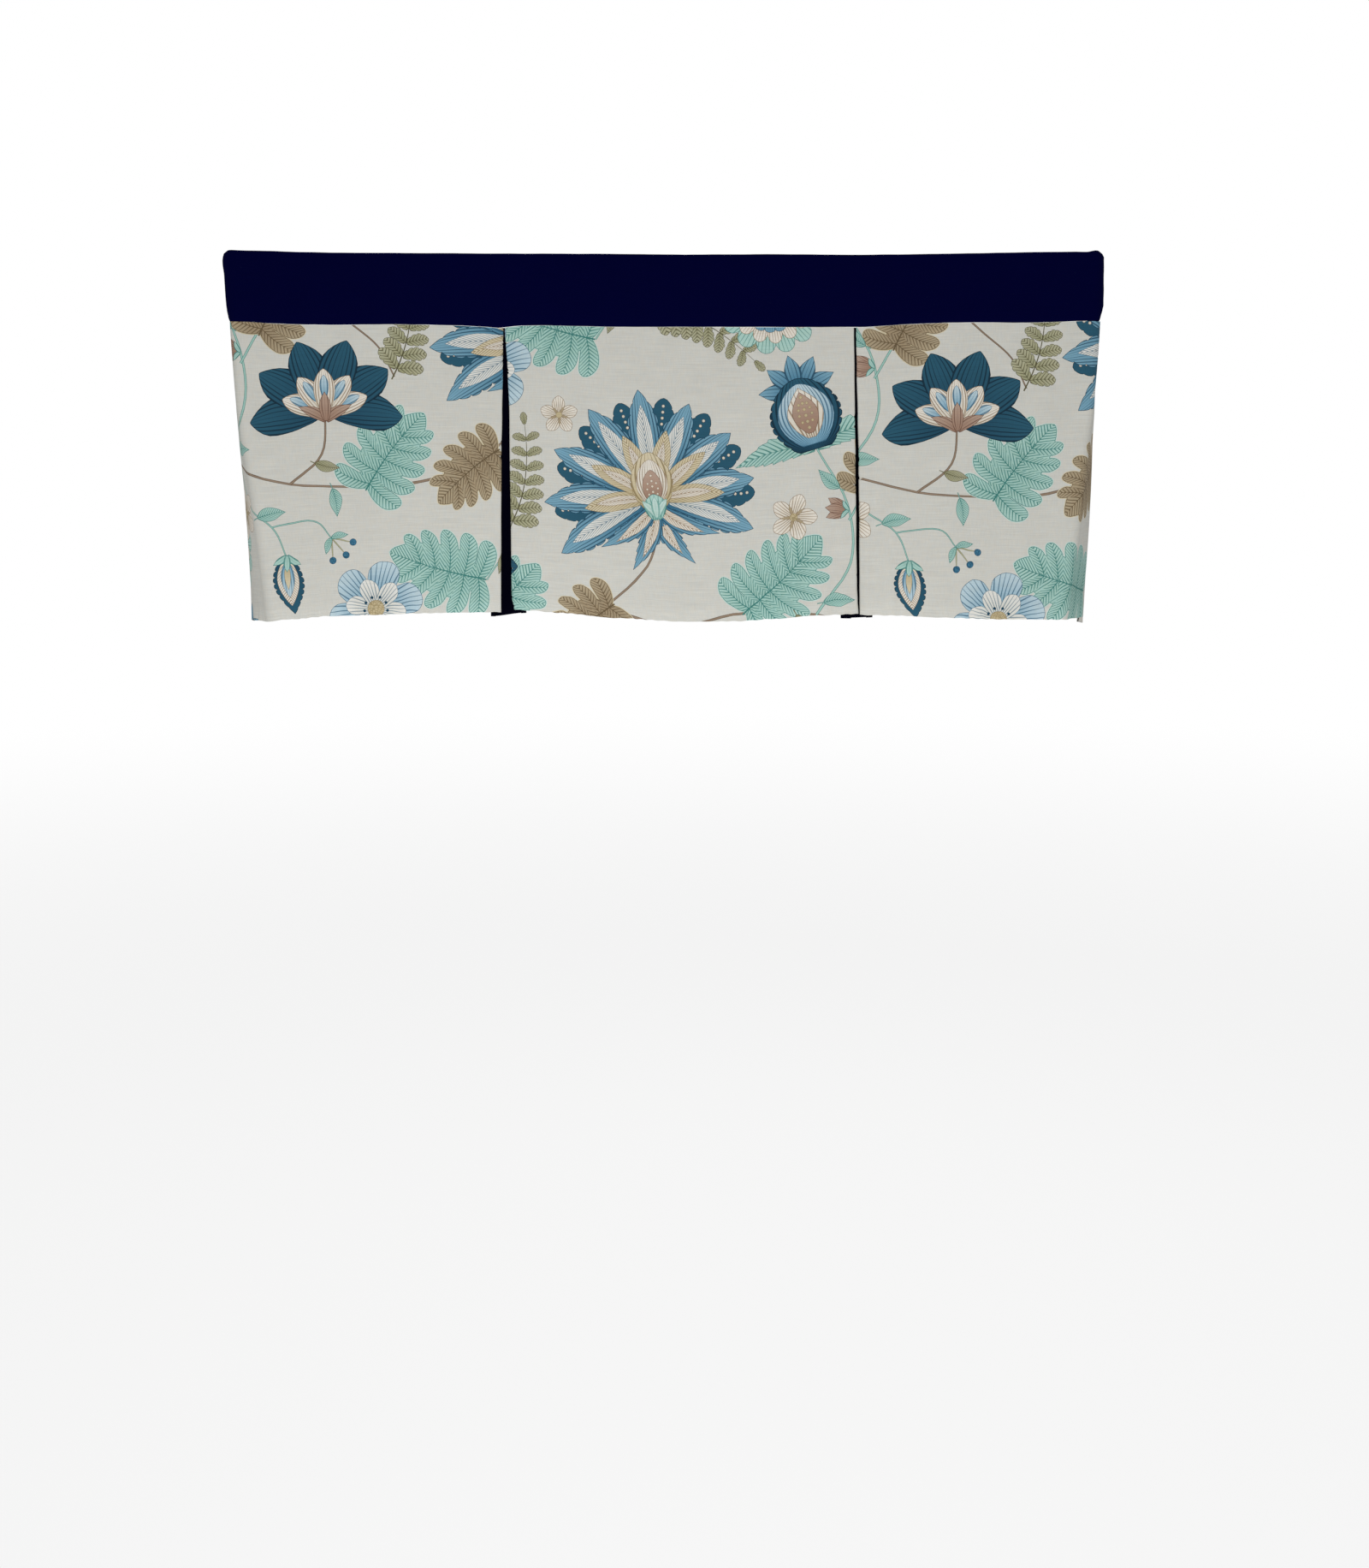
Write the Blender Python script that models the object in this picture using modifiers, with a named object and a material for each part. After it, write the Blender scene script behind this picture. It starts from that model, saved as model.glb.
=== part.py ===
"""A pleated window valance: a navy heading band over three printed panels and two navy pleat inserts.

Metres, +Z up. X runs along the window, +Y points back to the wall, and the cloth's right side faces -Y.
The origin is the middle of the heading band's top edge, in the plane of the panels' right side.
Every sheet is its right-side surface, laid row by row on a plan that changes down the drop, and Solidify adds
the cloth's thickness behind it. A plan always runs from the left to the right, so the faces point outwards.
"""

import math
from collections import namedtuple

import bpy
import bmesh
from mathutils import Vector

# Finished sizes
HALF_WIDTH = 0.6065
RETURN_DEPTH = 0.0860
BAND_HEIGHT = 0.0950
SEAM_GAP = 0.0003

# Cloth, and the turned hems in it
CLOTH = 0.0016
HEM_THICKNESS = 0.0032
HEM_HEIGHT = 0.0400
SIDE_HEM = 0.0130
HEM_STEP = 0.0010

# Heading band: its ends stand above its middle, with a small bump where it turns each corner
BAND_THICKNESS = 0.0030
BAND_ROUND = 0.0011
BAND_CORNER_RADIUS = 0.0120
END_LIFT = 0.0050
END_LIFT_POWER = 2.4
BUMP_HEIGHT = 0.0016
BUMP_REACH = 0.0130
BAND_WAVE_DEPTH = 0.0008
BAND_WAVE_RATE = 17.0

# Front corners of the side panels at the seam and at the hem, and the outward bow of the returns
CORNER_RADIUS_TOP = 0.0090
CORNER_RADIUS_HEM = 0.0200
RETURN_BOW = 0.0090

# Hang of the faces: the hem stands forward of the seam, and each face has a belly and slow waves. Their rate
# is in radians a metre
HEM_FORWARD = 0.0140
FORWARD_POWER = 1.2
FACE_BELLY = 0.0050
BELLY_POWER = 1.5
Wave = namedtuple("Wave", "depth rate phase")
FACE_WAVES = (Wave(0.0013, 13.0, 0.6), Wave(0.0009, 29.0, 2.1))

# Pleats: the turned-in edge of a panel, and the box of the insert behind the gap
FOLD_RADIUS_TOP = 0.0020
FOLD_RADIUS_HEM = 0.0036
TURN_IN = 0.0060
INSERT_HOLLOW_TOP = 0.0010
INSERT_HOLLOW_HEM = 0.0060
LEG_SLOPE = 0.0010

# Mesh steps
RETURN_STEPS = 4
CORNER_STEPS = 5
FOLD_STEPS = 6
FACE_STEPS = 14
BACK_STEPS = 4
DROP_STEPS = 9
BAND_FACE_STEPS = 36
HEM_ROWS = 3

# How far the band stands proud of the panels in front and at its ends, at a share of its height from the top
BandRow = namedtuple("BandRow", "share front end")
BAND_ROWS = (
    BandRow(0.00, 0.0020, 0.0050),
    BandRow(0.04, 0.0031, 0.0062),
    BandRow(0.25, 0.0038, 0.0074),
    BandRow(0.60, 0.0036, 0.0062),
    BandRow(0.85, 0.0032, 0.0048),
    BandRow(0.95, 0.0020, 0.0026),
    BandRow(0.98, 0.0009, 0.0012),
    BandRow(1.00, 0.0009, 0.0012),
)

# x of each pleat edge at a share of the drop, from the seam to the hem
Edge = namedtuple("Edge", "share panel_left centre_left centre_right panel_right")
PLEAT_EDGES = (
    Edge(0.00, -0.2249, -0.2229, 0.2660, 0.2686),
    Edge(0.15, -0.2262, -0.2197, 0.2676, 0.2706),
    Edge(0.30, -0.2280, -0.2179, 0.2692, 0.2728),
    Edge(0.45, -0.2298, -0.2182, 0.2710, 0.2748),
    Edge(0.72, -0.2312, -0.2176, 0.2735, 0.2771),
    Edge(0.90, -0.2320, -0.2178, 0.2752, 0.2780),
    Edge(1.00, -0.2325, -0.2172, 0.2774, 0.2787),
)

# At the hem: how far a front corner has crept in, and by which power of the share of the drop. The return's
# back edge stands out, deeper and lower there, its side hem may hang lower still as a tab, and halfway down
# the return bellies outwards
Corner = namedtuple("Corner", "side creep power back_out back_deep back_low tab belly")
CORNERS = {
    "panel_left": Corner(-1, 0.0385, 1.4, 0.0040, 0.0050, 0.0050, 0.0000, 0.0040),
    "panel_right": Corner(1, 0.0345, 1.7, 0.0085, 0.0060, 0.0055, 0.0070, 0.0060),
}

# Height of each hem at a share of its panel's width, from the left to the right
HemPoint = namedtuple("HemPoint", "share z")
HEMS = {
    "panel_left": (HemPoint(0.00, -0.5065), HemPoint(0.45, -0.4992), HemPoint(1.00, -0.4947)),
    "panel_centre": (
        HemPoint(0.00, -0.4945),
        HemPoint(0.13, -0.4965),
        HemPoint(0.30, -0.5030),
        HemPoint(0.50, -0.5080),
        HemPoint(0.72, -0.5052),
        HemPoint(0.87, -0.5005),
        HemPoint(1.00, -0.4975),
    ),
    "panel_right": (HemPoint(0.00, -0.4980), HemPoint(0.33, -0.5025), HemPoint(1.00, -0.5040)),
    "pleat_insert_left": (HemPoint(0.00, -0.5007), HemPoint(1.00, -0.4968)),
    "pleat_insert_right": (HemPoint(0.00, -0.5046), HemPoint(1.00, -0.5033)),
}
LONGEST_DROP = 0.4130

# The panel edges that each insert serves, and its outer folds at the seam and at the hem
Insert = namedtuple("Insert", "edges top_left top_right hem_left hem_right")
INSERTS = {
    "pleat_insert_left": Insert(("panel_left", "centre_left"), -0.2440, -0.2020, -0.2456, -0.2002),
    "pleat_insert_right": Insert(("centre_right", "panel_right"), 0.2480, 0.2880, 0.2554, 0.2959),
}

# Finishes
Finish = namedtuple("Finish", "colour roughness")
NAVY_TWILL = Finish((0.003, 0.004, 0.030), 0.85)
INSERT_NAVY = Finish((0.004, 0.005, 0.018), 0.90)
PRINTED_CLOTH = Finish((0.64, 0.62, 0.56), 0.82)


def mix(low, high, share):
    return low + (high - low) * share


def read_table(rows, share, column):
    """The column's value at this share, eased between the rows on either side of it."""
    share = min(1.0, max(0.0, share))
    for low, high in zip(rows, rows[1:]):
        if share <= high.share:
            within = (share - low.share) / (high.share - low.share)
            eased = within * within * (3.0 - 2.0 * within)
            return mix(getattr(low, column), getattr(high, column), eased)
    return getattr(rows[-1], column)


def arc(centre, radius, start, end, steps):
    """Points on an arc from the start angle to the end angle, both kept."""
    angles = [mix(start, end, i / steps) for i in range(steps + 1)]
    return [centre + radius * Vector((math.cos(angle), math.sin(angle))) for angle in angles]


def between(start, end, steps):
    """Points after the start and before the end."""
    return [start.lerp(end, i / steps) for i in range(1, steps)]


def rounded_corner(before, corner, after, radius, steps):
    """An arc that touches both straight stretches beside a corner."""
    back = (before - corner).normalized()
    ahead = (after - corner).normalized()
    half_angle = back.angle(ahead) / 2
    reach = radius / math.tan(half_angle)
    centre = corner + (back + ahead).normalized() * radius / math.sin(half_angle)
    start = (corner + back * reach - centre).normalized()
    end = (corner + ahead * reach - centre).normalized()
    return [centre + radius * start.slerp(end, i / steps) for i in range(steps + 1)]


def seam_z(x):
    """Height of the seam under the band, which lifts with the band's ends."""
    return END_LIFT * abs(x / HALF_WIDTH) ** END_LIFT_POWER - BAND_HEIGHT


def face_y(x, share):
    """The right side of the faces: forward at the hem, with slow waves that grow from the seam."""
    waves = sum(wave.depth * math.sin(wave.rate * x + wave.phase) for wave in FACE_WAVES)
    return -HEM_FORWARD * share**FORWARD_POWER - waves * share


def fold_radius(share):
    return mix(FOLD_RADIUS_TOP, FOLD_RADIUS_HEM, share)


def face_between(start, end, share):
    """A panel's face between its two folds, with its own belly."""
    points = between(start, end, FACE_STEPS)
    for i, point in enumerate(points, start=1):
        belly = FACE_BELLY * math.sin(math.pi * i / FACE_STEPS) * share**BELLY_POWER
        point.y = face_y(point.x, share) - belly
    return points


def turned_edge(edge_x, share, side):
    """A panel's pleat edge, from its face round to the turned-in layer. The fold's outermost x is edge_x."""
    radius = fold_radius(share)
    front = face_y(edge_x, share)
    centre = Vector((edge_x - side * radius, front + radius))
    fold = arc(centre, radius, -math.pi / 2, -math.pi / 2 + side * math.pi, FOLD_STEPS)
    end = Vector((edge_x - side * (radius + TURN_IN), front + 2 * radius))
    return fold + [fold[-1].lerp(end, 0.5), end]


def return_and_corner(corner, edge, share):
    """A side panel's return from its back edge, with its side hem, and then the front corner."""
    front = Vector((corner.side * (HALF_WIDTH - corner.creep * share**corner.power), 0.0))
    front.y = face_y(corner.side * HALF_WIDTH, share)
    back = Vector((corner.side * (HALF_WIDTH + corner.back_out * share), RETURN_DEPTH))
    back.y += corner.back_deep * share
    radius = mix(CORNER_RADIUS_TOP, CORNER_RADIUS_HEM, share)
    turn = rounded_corner(back, front, edge, radius, CORNER_STEPS)
    run = (back - turn[0]).length
    stations = [0.0, (SIDE_HEM - HEM_STEP) / run]
    stations += [mix(SIDE_HEM / run, 1.0, i / RETURN_STEPS) for i in range(RETURN_STEPS)]
    belly = corner.belly * math.sin(math.pi * share)
    path = [back.lerp(turn[0], at) for at in stations]
    for point, at in zip(path, stations):
        bow = RETURN_BOW * share * math.sin(math.pi * at)
        point.x += corner.side * (bow + belly * math.cos(math.pi / 2 * at))
    return path + turn


def side_panel_plan(name, share):
    corner = CORNERS[name]
    edge_x = read_table(PLEAT_EDGES, share, name)
    edge = Vector((edge_x, face_y(edge_x, share)))
    outer = return_and_corner(corner, edge, share)
    inner = turned_edge(edge_x, share, -corner.side)
    path = outer + face_between(outer[-1], inner[0], share) + inner
    return path if corner.side < 0 else path[::-1]


def centre_panel_plan(name, share):
    left = turned_edge(read_table(PLEAT_EDGES, share, "centre_left"), share, -1)
    right = turned_edge(read_table(PLEAT_EDGES, share, "centre_right"), share, 1)
    return left[::-1] + face_between(left[0], right[0], share) + right


def insert_plan(name, share):
    """An insert: a leg behind each panel's turned-in edge, and the back layer across the gap."""
    insert = INSERTS[name]
    edges = [read_table(PLEAT_EDGES, share, column) for column in insert.edges]
    outer = (mix(insert.top_left, insert.hem_left, share), mix(insert.top_right, insert.hem_right, share))
    radius = fold_radius(share)
    hollow = mix(INSERT_HOLLOW_TOP, INSERT_HOLLOW_HEM, share)
    back_y = max(face_y(x, share) for x in edges) + 2 * radius + hollow
    turn_radius = (hollow - LEG_SLOPE * share) / 2
    halves = []
    for side, edge_x, outer_x in zip((-1, 1), edges, outer):
        seam = Vector((edge_x + side * (radius + TURN_IN + SEAM_GAP), face_y(edge_x, share) + 2 * radius))
        centre = Vector((outer_x - side * turn_radius, back_y - turn_radius))
        turn = arc(centre, turn_radius, -math.pi / 2, -math.pi / 2 + side * math.pi, FOLD_STEPS)
        halves.append([seam, seam.lerp(turn[0], 0.5)] + turn)
    left, right = halves
    return left + between(left[-1], right[-1], BACK_STEPS) + right[::-1]


def band_plan(share):
    """The band at a share of its height: both returns, both corners and the front."""
    front = -read_table(BAND_ROWS, share, "front")
    half = HALF_WIDTH + read_table(BAND_ROWS, share, "end")
    radius = mix(BAND_CORNER_RADIUS, CORNER_RADIUS_TOP, share) - front
    left_back = Vector((-half, RETURN_DEPTH))
    left = rounded_corner(left_back, Vector((-half, front)), Vector((half, front)), radius, CORNER_STEPS)
    path = [left_back] + between(left_back, left[0], RETURN_STEPS) + left
    middle = between(left[-1], Vector((0.0, front)), BAND_FACE_STEPS // 2)
    for point in middle:
        point.y += BAND_WAVE_DEPTH * math.sin(BAND_WAVE_RATE * point.x) * math.sin(math.pi * share)
    half_path = path + middle
    mirrored = [Vector((-point.x, point.y)) for point in reversed(half_path)]
    return half_path + [Vector((0.0, front))] + mirrored


def hem_shares():
    """Rows down a panel or insert: even steps, and then the step of the hem."""
    hem = 1.0 - HEM_HEIGHT / LONGEST_DROP
    rows = [hem * i / DROP_STEPS for i in range(DROP_STEPS)]
    return rows + [hem - HEM_STEP / LONGEST_DROP, hem, mix(hem, 1.0, 0.5), 1.0]


def width_share(path, x):
    low = min(point.x for point in path)
    high = max(point.x for point in path)
    return (x - low) / (high - low)


def hanging_z(name, path, point, share):
    """Height of a point of a panel or insert at a share of its drop."""
    hem_z = read_table(HEMS[name], width_share(path, point.x), "z")
    if name in CORNERS and point.y > 0:
        hem_z -= CORNERS[name].back_low * (point.y / RETURN_DEPTH) ** 2
    if name in CORNERS and point.y > RETURN_DEPTH - SIDE_HEM / 2:
        hem_z -= CORNERS[name].tab
    return mix(seam_z(point.x) - SEAM_GAP, hem_z, share)


def band_z(point, share):
    """Height of a point of the band: its top edge has a bump over each corner."""
    corner = Vector((math.copysign(HALF_WIDTH, point.x), 0.0))
    bump = BUMP_HEIGHT * math.exp(-(((point - corner).length / BUMP_REACH) ** 2))
    seam = seam_z(point.x)
    return mix(seam + BAND_HEIGHT + bump, seam, share)


def grid_mesh(name, plans, heights):
    """A grid whose rows, from the top down, lie on the plans, and each vertex's row and column."""
    last_row = len(plans) - 1
    last_column = len(plans[0]) - 1
    bm = bmesh.new()
    bmesh.ops.create_grid(bm, x_segments=last_column, y_segments=last_row, size=1.0)
    places = []
    for vert in bm.verts:
        row = round((1 - vert.co.y) / 2 * last_row)
        column = round((vert.co.x + 1) / 2 * last_column)
        vert.co = (*plans[row][column], heights[row][column])
        places.append((row, column))
    mesh = bpy.data.meshes.new(name)
    bm.to_mesh(mesh)
    bm.free()
    mesh.shade_smooth()
    return mesh, places


def add_thickness(obj, thickness):
    """Cloth behind the right side, which is the surface that the mesh draws."""
    solid = obj.modifiers.new("cloth", "SOLIDIFY")
    solid.thickness = thickness
    solid.offset = -1.0
    solid.use_even_offset = True
    return solid


def make_material(name, finish):
    material = bpy.data.materials.new(name)
    material.use_nodes = True
    shader = material.node_tree.nodes["Principled BSDF"]
    shader.inputs["Base Color"].default_value = (*finish.colour, 1.0)
    shader.inputs["Roughness"].default_value = finish.roughness
    shader.inputs["Metallic"].default_value = 0.0
    return material


def add_object(name, mesh, finish, collection):
    obj = bpy.data.objects.new(name, mesh)
    mesh.materials.append(make_material(name, finish))
    collection.objects.link(obj)
    return obj


def hem_columns(name, columns):
    """The columns of a side panel that lie in its return's side hem."""
    if name not in CORNERS:
        return ()
    return range(2) if CORNERS[name].side < 0 else range(columns - 2, columns)


def hanging_sheet(name, plan, finish, collection):
    """A panel or insert. Its bottom hem and the side hem of its return are thicker than the rest."""
    shares = hem_shares()
    plans = [plan(name, share) for share in shares]
    heights = [[hanging_z(name, path, point, share) for point in path] for path, share in zip(plans, shares)]
    mesh, places = grid_mesh(name, plans, heights)
    obj = add_object(name, mesh, finish, collection)
    hems = obj.vertex_groups.new(name="hems")
    side_hem = hem_columns(name, len(plans[0]))
    for index, (row, column) in enumerate(places):
        in_hem = row >= len(shares) - HEM_ROWS or column in side_hem
        hems.add([index], 1.0 if in_hem else 0.0, "REPLACE")
    cloth = add_thickness(obj, HEM_THICKNESS)
    cloth.vertex_group = hems.name
    cloth.thickness_vertex_group = CLOTH / HEM_THICKNESS


def heading_band(collection):
    """The band: one doubled strip, with its long edges rounded."""
    plans = [band_plan(row.share) for row in BAND_ROWS]
    heights = [[band_z(point, row.share) for point in path] for path, row in zip(plans, BAND_ROWS)]
    mesh, _ = grid_mesh("heading_band", plans, heights)
    obj = add_object("heading_band", mesh, NAVY_TWILL, collection)
    add_thickness(obj, BAND_THICKNESS)
    edges = obj.modifiers.new("rounded_edges", "BEVEL")
    edges.width = BAND_ROUND
    edges.segments = 2
    edges.limit_method = "ANGLE"
    edges.angle_limit = math.radians(60.0)


def main():
    for obj in list(bpy.data.objects):
        bpy.data.objects.remove(obj, do_unlink=True)
    valance = bpy.data.collections.new("pleated_valance")
    bpy.context.scene.collection.children.link(valance)
    heading_band(valance)
    hanging_sheet("panel_left", side_panel_plan, PRINTED_CLOTH, valance)
    hanging_sheet("panel_centre", centre_panel_plan, PRINTED_CLOTH, valance)
    hanging_sheet("panel_right", side_panel_plan, PRINTED_CLOTH, valance)
    for name in INSERTS:
        hanging_sheet(name, insert_plan, INSERT_NAVY, valance)


main()
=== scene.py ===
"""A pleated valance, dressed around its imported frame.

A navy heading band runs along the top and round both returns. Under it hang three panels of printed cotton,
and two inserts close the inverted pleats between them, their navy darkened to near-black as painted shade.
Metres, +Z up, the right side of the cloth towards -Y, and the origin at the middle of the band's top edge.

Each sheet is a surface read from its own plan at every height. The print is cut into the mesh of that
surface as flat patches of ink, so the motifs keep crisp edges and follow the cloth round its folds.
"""

from __future__ import annotations

import logging
import math
from dataclasses import dataclass, field, replace
from enum import Enum, IntEnum
from functools import partial
from itertools import product
from typing import Callable, Iterable, NamedTuple, Sequence

import bpy
import numpy as np
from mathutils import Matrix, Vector
from mathutils.geometry import delaunay_2d_cdt


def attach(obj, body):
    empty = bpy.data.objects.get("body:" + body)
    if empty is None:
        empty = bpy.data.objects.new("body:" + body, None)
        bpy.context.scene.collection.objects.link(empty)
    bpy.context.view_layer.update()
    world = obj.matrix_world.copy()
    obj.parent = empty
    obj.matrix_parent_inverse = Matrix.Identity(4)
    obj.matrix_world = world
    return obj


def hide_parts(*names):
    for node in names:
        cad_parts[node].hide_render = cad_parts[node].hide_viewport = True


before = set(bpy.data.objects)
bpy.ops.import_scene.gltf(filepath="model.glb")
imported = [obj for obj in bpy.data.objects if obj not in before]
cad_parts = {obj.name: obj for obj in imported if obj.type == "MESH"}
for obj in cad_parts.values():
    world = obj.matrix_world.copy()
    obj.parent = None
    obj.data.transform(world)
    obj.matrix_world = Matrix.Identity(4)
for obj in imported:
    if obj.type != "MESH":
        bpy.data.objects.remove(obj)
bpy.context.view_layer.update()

LOG = logging.getLogger("valance")

Points = np.ndarray
Number = float | np.ndarray
Colour = tuple[float, float, float]
Table = Sequence[tuple[float, float]]
Material = bpy.types.Material
Node = bpy.types.Node
Object = bpy.types.Object
Socket = bpy.types.NodeSocket
Tree = bpy.types.NodeTree

MM = 0.001


# ---- Small helpers ----


def side_by_side(*values: Number) -> Points:
    """Put arrays side by side as the columns of one."""
    return np.stack(np.broadcast_arrays(*values), axis=1)


def unit(vectors: Points) -> Points:
    """Bring each vector to a length of 1."""
    return vectors / np.linalg.norm(vectors, axis=-1, keepdims=True)


def mix(low: Number, high: Number, share: Number) -> Number:
    """Blend two numbers or arrays."""
    return low + (high - low) * share


def ease(share: Number) -> Number:
    """Smooth a share between 0 and 1."""
    share = np.clip(share, 0.0, 1.0)
    return share * share * (3.0 - 2.0 * share)


def bell(distance: Number, reach: float) -> Number:
    """A soft hump, 1 at no distance and near 0 past twice the reach."""
    return np.exp(-((distance / reach) ** 2))


def linear(code: str) -> Colour:
    """Turn a screen colour in six hexadecimal digits into linear light."""
    channels = [int(code[i : i + 2], 16) / 255 for i in (0, 2, 4)]
    return tuple(c / 12.92 if c <= 0.04045 else ((c + 0.055) / 1.055) ** 2.4 for c in channels)


def interp(table: Table, at: Number) -> Number:
    """Read a table of pairs at a number or an array."""
    return np.interp(at, *zip(*table))


def eased(table: Table, at: float) -> float:
    """Read a table of pairs, eased between each pair and the next.

    Args:
        table: pairs in rising order of their first numbers.
        at: the number to read it at, held within the table's ends.

    Returns:
        The second number there.
    """
    at = min(max(at, table[0][0]), table[-1][0])
    for (low, before), (high, after) in zip(table, table[1:]):
        if at <= high:
            return float(mix(before, after, ease((at - low) / (high - low))))
    return table[-1][1]


# ---- How the valance hangs: the solids' driving sizes, and the listed unevenness ----

HALF_WIDTH = 0.6065
RETURN_DEPTH = 0.0860
BAND_HEIGHT = 0.0950
SEAM_GAP = 0.0003
END_LIFT = 0.0050
END_LIFT_POWER = 2.4
CORNER_RADIUS_TOP = 0.0090
CORNER_RADIUS_HEM = 0.0200
RETURN_BOW = 0.0090
HEM_FORWARD = 0.0140
FORWARD_POWER = 1.2
FACE_BELLY = 0.0050
BELLY_POWER = 1.5
FOLD_RADIUS_TOP = 0.0020
FOLD_RADIUS_HEM = 0.0036
TURN_IN = 0.0060
INSERT_HOLLOW_TOP = 0.0010
INSERT_HOLLOW_HEM = 0.0060
LEG_SLOPE = 0.0010
SIDE_HEM = 0.0130
TAB_WIDTH = 0.0190
TAB_STEP = 0.0030
SET_BACK = 0.0042
SET_BACK_X = 0.2779
SET_BACK_DRIFT = 0.0120
SET_BACK_REACH = 0.0170
FLARE_AT = 0.22
FLARE_REACH = 0.13
FACE_CHORDS = 60
RETURN_CHORDS = 24

# How high the band's top edge and its seam stand over their smooth lines: x in metres, rise in millimetres
TOP_LINE = (
    (-0.615, 0.0), (-0.608, 0.4), (-0.587, 1.4), (-0.545, 1.5), (-0.509, 0.7), (-0.450, 0.5), (-0.378, 1.0),
    (-0.330, 1.3), (-0.091, 1.5), (0.029, 0.4), (0.148, 0.9), (0.268, -0.6), (0.388, -0.2), (0.507, 0.4),
    (0.575, 0.0), (0.591, -0.9), (0.600, 0.0),
)
SEAM_LINE = (
    (-0.607, 0.2), (-0.581, 0.0), (-0.545, -1.8), (-0.497, -2.7), (-0.450, -2.2), (-0.378, -0.5),
    (-0.330, -0.8), (-0.282, -1.6), (-0.250, -3.0), (-0.231, -4.6), (-0.210, -2.2), (-0.198, -1.1),
    (-0.163, -0.5), (-0.067, -2.6), (0.029, -2.4), (0.148, -2.9), (0.244, -3.1), (0.278, -3.7),
    (0.292, -2.9), (0.328, -0.7), (0.388, 1.3), (0.447, 1.3), (0.507, -0.1), (0.555, 0.6), (0.591, 1.2),
    (0.607, 0.4),
)
# How far the band's ends stand out at a share of its height, in millimetres
LEFT_END = (
    (0.0, 0.6), (0.024, 2.6), (0.05, 4.8), (0.085, 5.6), (0.14, 6.3), (0.20, 5.8), (0.26, 5.0),
    (0.33, 4.1), (0.56, 4.0), (0.77, 3.2), (1.0, 1.7),
)
RIGHT_END = (
    (0.0, -1.6), (0.03, 0.4), (0.055, 3.4), (0.09, 4.5), (0.16, 4.2), (0.33, 4.3), (0.44, 4.6),
    (0.56, 5.4), (0.68, 5.6), (0.77, 5.9), (0.845, 4.6), (0.94, 3.5), (1.0, 3.2),
)


class Wave(NamedTuple):
    """A slow wave across the faces: its depth in metres and its rate in radians a metre."""

    depth: float
    rate: float
    phase: float


FACE_WAVES = (Wave(0.0013, 13.0, 0.6), Wave(0.0009, 29.0, 2.1))


class Edge(NamedTuple):
    """The x of each pleat edge at a share of the drop."""

    share: float
    panel_left: float
    centre_left: float
    centre_right: float
    panel_right: float


PLEAT_EDGES = (
    Edge(0.00, -0.2249, -0.2229, 0.2660, 0.2686),
    Edge(0.15, -0.2262, -0.2197, 0.2676, 0.2706),
    Edge(0.30, -0.2280, -0.2179, 0.2688, 0.2728),
    Edge(0.45, -0.2298, -0.2182, 0.2704, 0.2748),
    Edge(0.72, -0.2312, -0.2176, 0.2727, 0.2771),
    Edge(0.90, -0.2320, -0.2178, 0.2746, 0.2781),
    Edge(0.95, -0.2323, -0.2178, 0.2757, 0.2785),
    Edge(1.00, -0.2325, -0.2146, 0.2772, 0.2789),
)


def pleat_x(column: str, share: float) -> float:
    """The x of a pleat edge at a share of the drop."""
    return eased([(edge.share, getattr(edge, column)) for edge in PLEAT_EDGES], share)


class Side(IntEnum):
    """An end of the valance or of a sheet. Its number turns a distance outwards."""

    LEFT = -1
    NEITHER = 0
    RIGHT = 1


class Corner(NamedTuple):
    """How a side panel's front corner and its return hang, from the seam to the hem.

    Attributes:
        side: the valance's end that it is at.
        creep: how far the front corner lies inwards at the hem.
        power: how late in the drop it goes there.
        back_out: how far out the return's back edge hangs at the hem.
        back_deep: how far back.
        back_low: how much lower than the front.
        tab: how much lower still the stitched end of the side hem hangs.
        belly: how far the return swells half-way down.
        flare: how far the return draws in behind the corner at the hem.
        stand: millimetres that it stands out at shares of the drop.
    """

    side: Side
    creep: float
    power: float
    back_out: float
    back_deep: float
    back_low: float
    tab: float
    belly: float
    flare: float
    stand: Table


LEFT_STAND = (
    (0.0, 2.3), (0.12, 2.4), (0.29, 3.2), (0.40, 1.5), (0.56, -2.1), (0.70, -3.1), (0.88, -2.8), (1.0, -0.6),
)
RIGHT_STAND = ((0.0, 5.2), (0.10, 4.7), (0.22, 3.5), (0.30, 3.5), (0.40, 1.7), (0.86, 1.3), (1.0, 3.0))
LEFT_CORNER = Corner(Side.LEFT, 0.0385, 1.4, 0.0040, 0.0050, 0.0050, 0.0, 0.0040, 0.0, LEFT_STAND)
RIGHT_CORNER = Corner(Side.RIGHT, 0.0345, 1.7, 0.0098, 0.0060, 0.0055, 0.0070, 0.0060, 0.0085, RIGHT_STAND)


class Insert(NamedTuple):
    """The panel edges that an insert serves, and its outer folds at the seam and at the hem."""

    edges: tuple[str, str]
    top_left: float
    top_right: float
    hem_left: float
    hem_right: float


def lift_z(x: Number) -> Number:
    """How far the band is lifted towards its ends."""
    return END_LIFT * np.abs(x / HALF_WIDTH) ** END_LIFT_POWER


def seam_z(x: Number) -> Number:
    """Height of the seam under the band, which lifts with the band's ends and sags unevenly."""
    return lift_z(x) - BAND_HEIGHT + interp(SEAM_LINE, x) * MM


def face_y(x: Number, share: float) -> Number:
    """The right side of the faces: forward at the hem, with slow waves that grow from the seam.

    The right panel's pleat edge hangs a little further back than the centre panel's.

    Args:
        x: places from the left to the right.
        share: the share of the drop.

    Returns:
        Their y.
    """
    waves = sum(wave.depth * np.sin(wave.rate * x + wave.phase) for wave in FACE_WAVES)
    past = (x - SET_BACK_X + SET_BACK_DRIFT * (1 - share)) / SET_BACK_REACH
    back = SET_BACK * (past > 0) * (1 - ease(past))
    return -HEM_FORWARD * share**FORWARD_POWER + (back - waves) * share


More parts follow.
